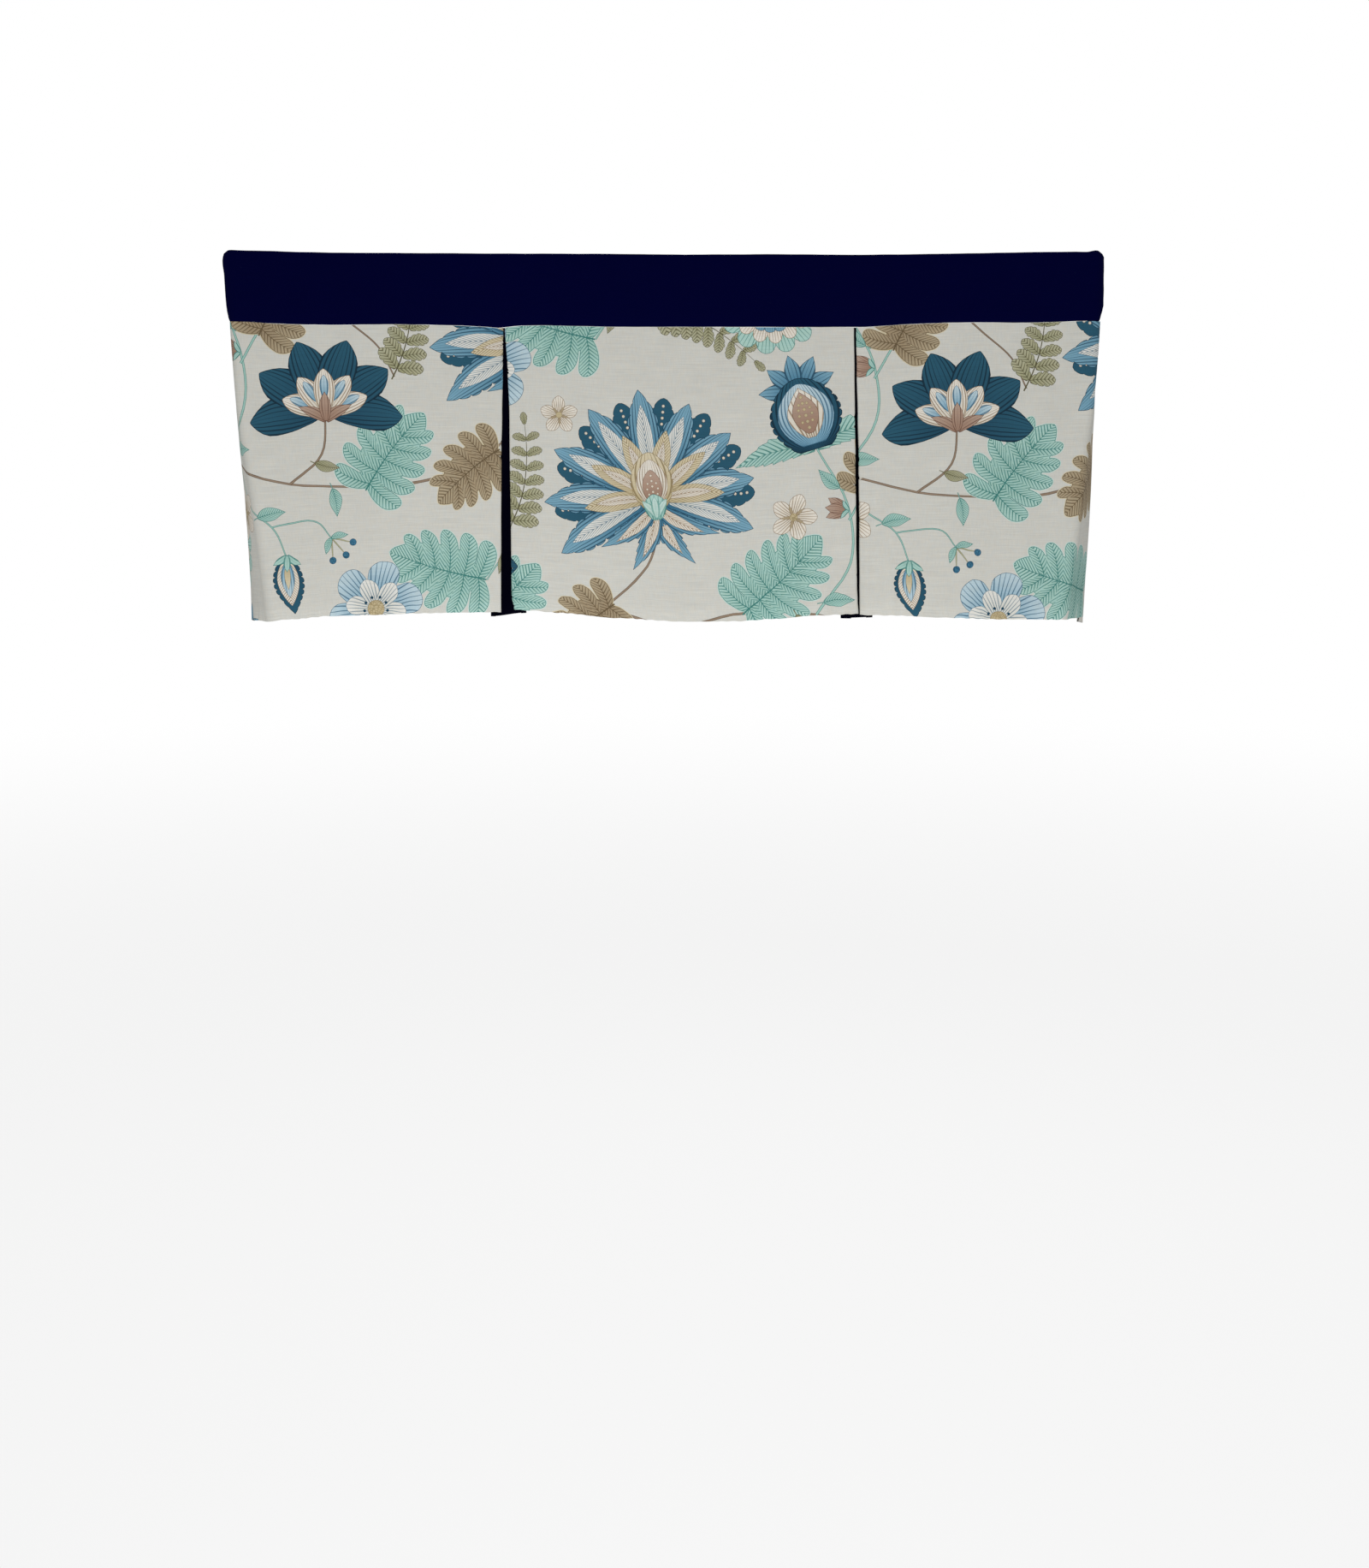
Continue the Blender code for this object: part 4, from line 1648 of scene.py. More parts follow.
class Wires:
    """The nodes of one tree, each made and linked in a line."""

    def __init__(self, tree: Tree) -> None:
        """Keep the tree."""
        self.tree = tree

    def node(self, kind: str, **settings: object) -> Node:
        """Add a node.

        Args:
            kind: its type.
            **settings: its own properties.

        Returns:
            The node.
        """
        node = self.tree.nodes.new(kind)
        for name, value in settings.items():
            setattr(node, name, value)
        return node

    def put(self, value: object, socket: Socket) -> None:
        """Give an input its value.

        Args:
            value: a socket to link, a plain value, or None to leave the input as it is.
            socket: the input.
        """
        if isinstance(value, Socket):
            self.tree.links.new(value, socket)
        elif value is not None:
            socket.default_value = value

    def feed(self, node: Node, *values: object) -> Node:
        """Give a node's first inputs their values.

        Args:
            node: the node.
            *values: a value for each input, in order.

        Returns:
            The node.
        """
        for value, socket in zip(values, node.inputs):
            self.put(value, socket)
        return node

    def math(self, operation: str, *values: object, clamp: bool = False) -> Socket:
        """A Math node's result."""
        node = self.node("ShaderNodeMath", operation=operation, use_clamp=clamp)
        return self.feed(node, *values).outputs[0]

    def plus(self, first: object, second: object) -> Socket:
        """A sum."""
        return self.math("ADD", first, second)

    def minus(self, first: object, second: object) -> Socket:
        """A difference."""
        return self.math("SUBTRACT", first, second)

    def times(self, first: object, second: object) -> Socket:
        """A product."""
        return self.math("MULTIPLY", first, second)

    def vector(self, operation: str, *values: object) -> Socket:
        """A Vector Math node's result."""
        node = self.feed(self.node("ShaderNodeVectorMath", operation=operation), *values)
        return node.outputs["Value" if operation == "LENGTH" else "Vector"]

    def split(self, vector: Socket) -> tuple[Socket, ...]:
        """The three parts of a vector."""
        return tuple(self.feed(self.node("ShaderNodeSeparateXYZ"), vector).outputs)

    def join(self, x: object = 0.0, y: object = 0.0, z: object = 0.0) -> Socket:
        """A vector from three parts."""
        return self.feed(self.node("ShaderNodeCombineXYZ"), x, y, z).outputs[0]

    def ramp(self, value: object, low: float, high: float) -> Socket:
        """A smooth rise from 0 at low to 1 at high, or a fall where low is greater."""
        node = self.node("ShaderNodeMapRange", interpolation_type="SMOOTHSTEP")
        return self.feed(node, value, low, high, 0.0, 1.0).outputs[0]

    def mix(self, share: object, low: object, high: object, blend: str = "MIX") -> Socket:
        """A colour between two others. The node's other kinds of inputs stay as they are."""
        node = self.node("ShaderNodeMix", data_type="RGBA", blend_type=blend)
        return self.feed(node, share, *[None] * 5, low, high).outputs[2]

    def noise(self, vector: object, scale: float, detail: float = 2.0, seed: float = 0.0) -> Socket:
        """A Noise Texture's value, around 0.5."""
        node = self.node("ShaderNodeTexNoise", noise_dimensions="4D")
        return self.fill(node, {"Vector": vector, "Scale": scale, "Detail": detail, "W": seed}).outputs[0]

    def fill(self, node: Node, values: dict[str, object]) -> Node:
        """Give a node's named inputs their values.

        Args:
            node: the node.
            values: the values by the inputs' names, with an underscore for a space.

        Returns:
            The node.
        """
        for name, value in values.items():
            self.put(value, node.inputs[name.replace("_", " ")])
        return node

    def group(self, tree: Tree, **values: object) -> Node:
        """Place a node group."""
        return self.fill(self.node("ShaderNodeGroup", node_tree=tree), values)

    def bump(self, height: Socket, distance: float, shader: Node) -> None:
        """Raise a shader's surface by a map, whose 1 stands for a distance in metres."""
        node = self.fill(self.node("ShaderNodeBump"), {"Distance": distance, "Height": height})
        self.put(node.outputs["Normal"], shader.inputs["Normal"])

    def through(self, kind: str, geometry: object, mode: str = "", **values: object) -> Socket:
        """Pass geometry through a Geometry Nodes node, and return its first output."""
        node = self.feed(self.node("GeometryNode" + kind, **({"mode": mode} if mode else {})), geometry)
        return self.fill(node, values).outputs[0]

    def finish(self, geometry: Socket, material: Socket) -> None:
        """End a Geometry Nodes tree: smooth, with its instances realized and its material set.

        Args:
            geometry: what the tree has made.
            material: its material.
        """
        real = self.through("RealizeInstances", self.through("SetShadeSmooth", geometry))
        dressed = self.through("SetMaterial", real, Material=material)
        self.put(dressed, self.tree.nodes["Group Output"].inputs[0])


def new_group(
    name: str, kind: str, inputs: dict[str, str], outputs: dict[str, str]
) -> tuple[Tree, Wires, bpy.types.NodeOutputs, bpy.types.NodeInputs]:
    """A node group with named sockets.

    Args:
        name: the group's name.
        kind: ShaderNodeTree or GeometryNodeTree.
        inputs: the input sockets' names, and their kinds without the common prefix.
        outputs: the output sockets, likewise.

    Returns:
        The group, its wires, the sockets that it is given and the sockets of its result.
    """
    tree = bpy.data.node_groups.new(name, kind)
    for side, sockets in (("INPUT", inputs), ("OUTPUT", outputs)):
        for label, socket in sockets.items():
            tree.interface.new_socket(label, in_out=side, socket_type="NodeSocket" + socket)
    given = tree.nodes.new("NodeGroupInput").outputs
    result = tree.nodes.new("NodeGroupOutput").inputs
    return tree, Wires(tree), given, result


def woven_cloth_group() -> Tree:
    """The weave that every cloth here shares.

    Returns:
        A group that takes the cloth's map in metres and puts out the threads' height, and a shade for the
        colour:
        painted shade where the threads dip, with the yarn's own lighter and darker slubs and blotches.
    """
    inputs = {"Cloth": "Vector", "Pitch": "Float", "Slub": "Float", "Twill": "Float"}
    outputs = {"Height": "Float", "Shade": "Float"}
    tree, w, given, result = new_group("WovenCloth", "ShaderNodeTree", inputs, outputs)
    drift = w.fill(w.node("ShaderNodeTexNoise"), {"Vector": given["Cloth"], "Scale": 90.0})
    wander = w.vector("SUBTRACT", drift.outputs["Color"], (0.5, 0.5, 0.5))
    cloth = w.vector("ADD", given["Cloth"], w.vector("SCALE", wander, None, None, 0.35 * MM))
    u, v, _ = w.split(cloth)
    turn = w.math("DIVIDE", math.pi, given["Pitch"])
    diagonal = w.times(v, given["Twill"])
    warp = w.math("SINE", w.times(w.plus(u, diagonal), turn))
    crossing = w.times(u, given["Twill"])
    weft = w.math("SINE", w.times(w.minus(v, crossing), turn))
    over = w.times(warp, weft)
    lift = w.math("MAXIMUM", w.math("ABSOLUTE", warp), w.math("ABSOLUTE", weft))
    threads = w.plus(w.times(over, 0.35), w.times(lift, 0.65))
    along_weft = w.vector("MULTIPLY", cloth, (20.0, 950.0, 1.0))
    along_warp = w.vector("MULTIPLY", cloth, (760.0, 70.0, 1.0))
    slub = w.math("MULTIPLY_ADD", w.noise(along_warp, 1.0, 1.0, 3.0), 0.40, w.noise(along_weft, 1.0, 2.0))
    thick = w.times(w.minus(slub, 0.70), given["Slub"])
    w.put(w.plus(threads, thick), result["Height"])
    blotch = w.noise(given["Cloth"], 30.0, 3.0, 7.0)
    # Painted shade: the colour darkens where the threads dip. The slubs and the blotches vary the yarn's own
    # tone.
    shade = w.plus(w.times(threads, 0.10), w.times(thick, 0.34))
    shade = w.plus(shade, w.times(w.minus(blotch, 0.5), 0.10))
    w.put(w.plus(shade, 0.93), result["Shade"])
    return tree


def print_hatch_group() -> Tree:
    """The engraver's fine lines.

    Returns:
        A group that takes a patch's own coordinates and its number of lines, and puts out their mask.
    """
    inputs = {"Local": "Vector", "Lines": "Float", "Cloth": "Vector"}
    tree, w, given, result = new_group("PrintHatch", "ShaderNodeTree", inputs, {"Mask": "Float"})
    t, s, kind = w.split(given["Local"])
    side = w.math("ABSOLUTE", s)

    def lines(phase: Socket, width: object) -> Socket:
        """Lines where the phase passes each whole number. The width is a share of their spacing."""
        off = w.math("ABSOLUTE", w.minus(w.math("FRACT", phase), 0.5))
        return w.ramp(w.minus(off, w.minus(0.5, w.times(width, 0.5))), -0.07, 0.07)

    def only(hatch: Hatch, mask: Socket) -> Socket:
        """The mask, where the patch has this hatch."""
        return w.times(w.math("COMPARE", kind, float(hatch.value), 0.4), mask)

    fan = w.times(w.math("ARCTAN2", s, w.plus(t, 0.55)), given["Lines"])
    fan_width = w.math("MULTIPLY_ADD", t, -0.42, 0.50, clamp=True)
    hump = w.times(t, w.minus(1.06, t))
    round_off = w.math("POWER", w.times(hump, 4.0), 0.6)
    beside = w.math("DIVIDE", s, w.math("MAXIMUM", round_off, 0.12))
    contour = w.times(beside, w.times(given["Lines"], 0.5))
    contour_width = w.math("MULTIPLY_ADD", w.math("ABSOLUTE", beside), 0.42, 0.06, clamp=True)
    chevron = w.times(w.math("MULTIPLY_ADD", side, -0.26, t), given["Lines"])
    chevron_width = w.math("MULTIPLY_ADD", side, -0.30, 0.42, clamp=True)
    cells = w.node("ShaderNodeTexVoronoi", feature="DISTANCE_TO_EDGE")
    w.fill(cells, {"Vector": given["Cloth"], "Scale": 270.0})
    net = w.ramp(cells.outputs["Distance"], 0.13, 0.05)
    total = only(FAN, lines(fan, fan_width))
    total = w.plus(total, only(CONTOUR, lines(contour, contour_width)))
    total = w.plus(total, only(FEATHER, lines(chevron, chevron_width)))
    total = w.plus(total, only(CELLS, w.times(net, 0.75)))
    w.put(w.math("MULTIPLY", total, 0.85, clamp=True), result["Mask"])
    return tree


def new_material(name: str, roughness: float, gloss: float) -> tuple[Material, Wires, Node]:
    """Start a material.

    Args:
        name: its name.
        roughness: its shader's roughness.
        gloss: its shader's specular level.

    Returns:
        The material, its wires and its shader.
    """
    material = bpy.data.materials.new(name)
    material.use_nodes = True
    w = Wires(material.node_tree)
    shader = material.node_tree.nodes["Principled BSDF"]
    return material, w, w.fill(shader, {"Roughness": roughness, "Specular IOR Level": gloss})


@dataclass(frozen=True)
class Finish:
    """What every cloth finish here has: its name, its roughness, its sheen and its weave."""

    name: str
    roughness: float
    sheen: float
    pitch: float
    slub: float
    twill: float
    bump: float
    gloss: float

    def start(self) -> tuple[Material, Wires, Node, Node, Socket]:
        """Make the material with the weave in its bump.

        Returns:
            The material, its wires, its shader, its weave and its map of the cloth.
        """
        material, w, shader = new_material(self.name, self.roughness, self.gloss)
        w.fill(shader, {"Sheen Weight": self.sheen, "Sheen Roughness": 0.5})
        cloth = w.node("ShaderNodeUVMap", uv_map="Cloth").outputs["UV"]
        group = bpy.data.node_groups.get("WovenCloth") or woven_cloth_group()
        weave = w.group(group, Cloth=cloth, Pitch=self.pitch, Slub=self.slub, Twill=self.twill)
        w.bump(weave.outputs["Height"], self.bump, shader)
        return material, w, shader, weave, cloth


@dataclass(frozen=True)
class PrintedCotton(Finish):
    """The right side of the printed cloth, or its wrong side, where the print shows faintly."""

    show: float = 1.0
    ghost: Colour = (0.69, 0.66, 0.59)
    warm: Colour = (1.0, 0.979, 0.955)
    cool: Colour = (0.974, 0.979, 0.985)
    # How high the painted light at the hem reaches up the cloth, and how much lighter it makes the cloth
    # there
    hem_curl: float = 0.024
    hem_light: float = 0.045

    def make(self) -> Material:
        """Make the material.

        Returns:
            The material.
        """
        material, w, shader, weave, cloth = self.start()
        names = ("print_fill", "print_line", "print_local")
        fill, line, local = (w.node("ShaderNodeAttribute", attribute_name=name) for name in names)
        group = bpy.data.node_groups.get("PrintHatch") or print_hatch_group()
        lines = w.times(line.outputs["Alpha"], MOST_LINES)
        hatch = w.group(group, Local=local.outputs["Vector"], Lines=lines, Cloth=cloth)
        ink = w.mix(hatch.outputs["Mask"], fill.outputs["Color"], line.outputs["Color"])
        if self.show < 1.0:
            ink = w.mix(self.show, (*self.ghost, 1.0), ink)
        # Painted light: the cloth is made lighter in a strip at the bottom of its drop, for the brighter
        # look of the doubled hem.
        hem = w.ramp(w.split(cloth)[1], self.hem_curl, 0.3 * self.hem_curl)
        shade = w.times(weave.outputs["Shade"], w.math("MULTIPLY_ADD", hem, self.hem_light, 1.0))
        ink = w.mix(1.0, ink, w.join(*[shade] * 3), "MULTIPLY")
        fleck = w.ramp(w.noise(cloth, 140.0, 2.0, 11.0), 0.36, 0.64)
        tone = w.mix(fleck, (*self.warm, 1.0), (*self.cool, 1.0))
        w.put(w.mix(1.0, ink, tone, "MULTIPLY"), shader.inputs["Base Color"])
        return material


@dataclass(frozen=True)
class PlainCloth(Finish):
    """A dyed cloth with a little lint on it."""

    colour: Colour = (0.0, 0.0, 0.02)
    lint: float = 0.0

    def make(self) -> Material:
        """Make the material.

        Returns:
            The material.
        """
        material, w, shader, weave, cloth = self.start()
        # The weave's shade multiplies the dye: painted shade where the threads dip, and the tone of the
        # slubs.
        shade = w.join(*[weave.outputs["Shade"]] * 3)
        base = w.mix(1.0, (*self.colour, 1.0), shade, "MULTIPLY")
        if self.lint:
            hairs = w.noise(w.vector("MULTIPLY", cloth, (420.0, 900.0, 1.0)), 1.0, 1.0, 5.0)
            patches = w.noise(cloth, 60.0, 2.0, 9.0)
            specks = w.times(w.ramp(hairs, 0.735, 0.80), w.ramp(patches, 0.52, 0.62))
            base = w.mix(w.times(specks, self.lint), base, (0.10, 0.12, 0.22, 1.0))
        w.put(base, shader.inputs["Base Color"])
        return material


@dataclass(frozen=True)
class Thread:
    """Sewing thread: two plies that wind round each other, with painted shade in the grooves between them.
    """

    name: str
    colour: Colour
    roughness: float = 0.6
    gloss: float = 0.5
    ply: float = 0.5 * MM
    bump: float = 0.1 * MM

    def make(self) -> Material:
        """Make the material.

        Returns:
            The material.
        """
        material, w, shader = new_material(self.name, self.roughness, self.gloss)
        x, y, z = w.split(w.node("ShaderNodeTexCoord").outputs["Object"])
        slant = w.plus(w.plus(x, z), y)
        plies = w.math("SINE", w.times(slant, math.tau / self.ply))
        # Painted shade: the colour darkens in the grooves between the plies.
        dark = tuple(0.72 * c for c in self.colour)
        base = w.mix(w.ramp(plies, -0.6, 0.6), (*dark, 1.0), (*self.colour, 1.0))
        w.put(base, shader.inputs["Base Color"])
        w.bump(plies, self.bump, shader)
        return material


def in_scene(name: str, data: bpy.types.ID) -> Object:
    """Put a new object in the scene.

    Args:
        name: its name.
        data: its data.

    Returns:
        The object.
    """
    obj = bpy.data.objects.new(name, data)
    bpy.context.scene.collection.objects.link(obj)
    return obj


def add_tree(obj: Object, tree: Tree, values: dict[str, object]) -> None:
    """Give an object a Geometry Nodes tree, with its inputs set by their sockets' identifiers.

    Args:
        obj: the object.
        tree: the tree.
        values: what the inputs hold, by their names in small letters.
    """
    modifier = obj.modifiers.new(tree.name, "NODES")
    modifier.node_group = tree
    for socket in tree.interface.items_tree:
        key = socket.name.replace(" ", "_").lower()
        if socket.item_type == "SOCKET" and socket.in_out == "INPUT" and key in values:
            modifier[socket.identifier] = values[key]


def made_plain(obj: Object, name: str) -> Object:
    """Turn an object's Geometry Nodes result into a plain mesh object, and remove the object.

    Args:
        obj: the object with the modifier.
        name: the new object's name.

    Returns:
        The plain object, at the origin.
    """
    bpy.context.view_layer.update()
    graph = bpy.context.evaluated_depsgraph_get()
    mesh = bpy.data.meshes.new_from_object(obj.evaluated_get(graph), depsgraph=graph)
    mesh.name = name
    obj.modifiers.clear()
    bpy.data.objects.remove(obj)
    return in_scene(name, mesh)


def poly_curve(name: str, points: Iterable[Sequence[float]], closed: bool = False) -> Object:
    """A curve object of one poly spline.

    Args:
        name: its name.
        points: its points in order.
        closed: whether the last joins the first.

    Returns:
        The object.
    """
    points = [tuple(p) for p in points]
    curve = bpy.data.curves.new(name, "CURVE")
    curve.dimensions = "3D"
    spline = curve.splines.new("POLY")
    spline.points.add(len(points) - 1)
    for at, point in zip(spline.points, points):
        at.co = (*point, 1.0)
    spline.use_cyclic_u = closed
    return in_scene(name, curve)


# ---- The heading band ----

# How far the band stands proud in front, in metres, at shares of its height from the top
BAND_FRONT = (
    (0.00, 0.0020), (0.04, 0.0031), (0.25, 0.0038), (0.60, 0.0036), (0.85, 0.0032), (0.95, 0.0020),
    (0.98, 0.0009), (1.00, 0.0009),
)


def heading_band_tree() -> Tree:
    """The band's tree: a rounded path, swept by the band's section and made uneven.

    Returns:
        The tree, whose geometry input is the path's curve.
    """
    names = ("Half Width", "Height", "Corner Radius", "Step", "Wave Depth", "Wave Rate", "Unevenness")
    sizes = dict.fromkeys(names, "Float")
    inputs = {"Path": "Geometry", "Section": "Object", **sizes, "Material": "Material"}
    tree, w, given, _ = new_group("HeadingBand", "GeometryNodeTree", inputs, {"Band": "Geometry"})
    path = w.through("FilletCurve", given["Path"], "POLY", Radius=given["Corner Radius"], Count=8)
    path = w.through("ResampleCurve", path, "LENGTH", Length=given["Step"])
    path = w.through("SetCurveNormal", path, "Z_UP")
    capture = w.node("GeometryNodeCaptureAttribute", domain="POINT")
    capture.capture_items.new("FLOAT", "Along")
    w.fill(capture, {"Geometry": path, "Along": w.node("GeometryNodeSplineParameter").outputs["Length"]})
    section = w.node("GeometryNodeObjectInfo", transform_space="ORIGINAL")
    w.put(given["Section"], section.inputs["Object"])
    ends = {"Profile Curve": section.outputs["Geometry"], "Fill Caps": True}
    band = w.through("CurveToMesh", capture.outputs["Geometry"], **ends)

    x, y, z = w.split(w.node("GeometryNodeInputPosition").outputs[0])
    share = w.math("MULTIPLY", w.math("DIVIDE", z, given["Height"]), -1.0, clamp=True)
    across = w.math("DIVIDE", w.math("ABSOLUTE", x), given["Half Width"])
    wave = w.math("SINE", w.times(x, given["Wave Rate"]))
    wave = w.times(wave, w.math("SINE", w.times(share, math.pi)))
    wave = w.times(w.times(wave, w.ramp(across, 0.985, 0.95)), given["Wave Depth"])
    rough = w.noise(w.vector("MULTIPLY", w.join(x, y, z), (22.0, 22.0, 46.0)), 1.0, 2.0, 2.0)
    stand = w.times(w.minus(rough, 0.5), given["Unevenness"])
    outward = w.vector("SCALE", w.node("GeometryNodeInputNormal").outputs[0], None, None, stand)
    band = w.through("SetPosition", band, Offset=w.vector("ADD", w.join(0.0, wave, 0.0), outward))
    stored = w.node("GeometryNodeStoreNamedAttribute", data_type="FLOAT2", domain="CORNER")
    w.fill(stored, {"Geometry": band, "Name": "Cloth", "Value": w.join(capture.outputs["Along"], z)})
    w.finish(stored.outputs[0], given["Material"])
    return tree


@dataclass
class HeadingBand:
    """The navy band, a doubled strip that runs along the top and round both returns."""

    material: Material
    half_width: float = HALF_WIDTH
    depth: float = RETURN_DEPTH
    height: float = BAND_HEIGHT
    thickness: float = 3.0 * MM
    edge_round: float = 1.2 * MM
    corner_radius: float = 10.5 * MM
    step: float = 3.0 * MM
    bump_height: float = 1.6 * MM
    bump_reach: float = 13.0 * MM
    wave_depth: float = 0.8 * MM
    wave_rate: float = 17.0
    unevenness: float = 1.0 * MM

    def section(self) -> Points:
        """The band's closed section, with rounded edges.

        Returns:
            How far out and how high its points are.
        """
        shares = np.linspace(0.0, 1.0, 23)[1:-1]
        outer = [(eased(BAND_FRONT, s), -s * self.height) for s in shares]
        inner = [(x - self.thickness, z) for x, z in outer[::-1]]
        top = self.edge(eased(BAND_FRONT, 0.0), 0.0, math.pi)
        low = self.edge(eased(BAND_FRONT, 1.0), -self.height, 0.0)
        return np.array([*outer, *low, *inner, *top])

    def edge(self, front: float, z: float, start: float) -> list[tuple[float, float]]:
        """The rounded edge at the section's top or foot.

        Args:
            front: how far out the edge's front is.
            z: how high the edge is.
            start: the angle that the arc begins at.

        Returns:
            How far out and how high its points are.
        """
        half = self.thickness / 2
        rise = -1 if z < 0 else 1
        angles = start - np.linspace(0.12, 0.88, 7) * math.pi
        drop = rise * self.edge_round * (1 - np.abs(np.sin(angles)))
        return list(zip(front - half + half * np.cos(angles), z - drop))

    def settle(self, mesh: bpy.types.Mesh) -> None:
        """Lift the ends, raise the bumps at the corners, and let the edges hang as unevenly as they do.

        Args:
            mesh: the band's mesh.
        """
        places = np.empty(3 * len(mesh.vertices))
        mesh.vertices.foreach_get("co", places)
        x, y, z = places.reshape(-1, 3).T
        share = np.clip(-z / self.height, 0, 1)
        bump = self.bump_height * bell(np.hypot(np.abs(x) - self.half_width, y), self.bump_reach)
        z += lift_z(x) + bump * (1 - share) + mix(interp(TOP_LINE, x), interp(SEAM_LINE, x), share) * MM
        x += x / self.half_width * np.where(x < 0, interp(LEFT_END, share), interp(RIGHT_END, share)) * MM
        mesh.vertices.foreach_set("co", places)
        mesh.update()

    def build(self) -> Object:
        """Returns:
            The band.
        """
        half, depth = self.half_width, self.depth
        path = poly_curve("band_path", [(-half, depth, 0), (-half, 0, 0), (half, 0, 0), (half, depth, 0)])
        section = poly_curve("band_section", [(x, -z, 0) for x, z in self.section()], closed=True)
        add_tree(path, heading_band_tree(), {**vars(self), "section": section})
        band = made_plain(path, "heading_band_cloth")
        bpy.data.objects.remove(section)
        self.settle(band.data)
        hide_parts("heading_band")
        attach(band, "root")
        LOG.info("%s: %d faces", band.name, len(band.data.polygons))
        return band


# ---- Stitches ----

# Points of a hem's row, how far below the hem's line it runs and how far it stands off the cloth
ROW_POINTS = 90
ROW_BELOW = 0.4 * MM
ROW_PROUD = 0.35 * MM


def stitch_row_tree() -> Tree:
    """The tree of a row of stitches: one short rounded stitch at every pitch along the row's line.

    Returns:
        The tree, whose geometry input is the line's curve.
    """
    sizes = dict.fromkeys(("Pitch", "Length", "Thickness", "Lean"), "Float")
    inputs = {"Row": "Geometry", **sizes, "Seed": "Int", "Material": "Material"}
    tree, w, given, _ = new_group("StitchRow", "GeometryNodeTree", inputs, {"Stitches": "Geometry"})
    row = w.through("ResampleCurve", given["Row"], "LENGTH", Length=given["Pitch"])
    ball = w.fill(w.node("GeometryNodeMeshUVSphere"), {"Segments": 6, "Rings": 5, "Radius": 0.5})
    long_way = w.join(given["Thickness"], given["Thickness"], given["Length"])
    stitch = w.through("Transform", ball.outputs["Mesh"], Scale=long_way)
    wobble = w.node("FunctionNodeRandomValue", data_type="FLOAT_VECTOR")
    w.feed(wobble, (-0.12, -0.05, -0.12), (0.12, 0.05, 0.12))
    w.put(given["Seed"], wobble.inputs["Seed"])
    heading = w.vector("ADD", w.node("GeometryNodeInputTangent").outputs[0], wobble.outputs[0])
    aim = w.node("FunctionNodeAlignRotationToVector", axis="Z")
    w.put(w.vector("ADD", heading, w.join(0.0, 0.0, given["Lean"])), aim.inputs["Vector"])
    row = w.through("InstanceOnPoints", row, Instance=stitch, Rotation=aim.outputs[0])
    w.finish(row, given["Material"])
    return tree


@dataclass
class StitchRow:
    """A row of stitches along a line on a sheet."""

    name: str
    line: Points
    material: Material
    pitch: float = 9.0 * MM
    length: float = 3.2 * MM
    thickness: float = 0.45 * MM
    lean: float = 0.55
    seed: int = 1

    def build(self) -> Object:
        """Make the stitches as one plain mesh that rides with the cloth.

        Returns:
            The stitches.
        """
        row = poly_curve(self.name + "_line", self.line)
        add_tree(row, bpy.data.node_groups.get("StitchRow") or stitch_row_tree(), vars(self))
        stitches = made_plain(row, self.name)
        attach(stitches, "root")
        LOG.info("%s: %d faces", stitches.name, len(stitches.data.polygons))
        return stitches


# ---- The whole valance ----


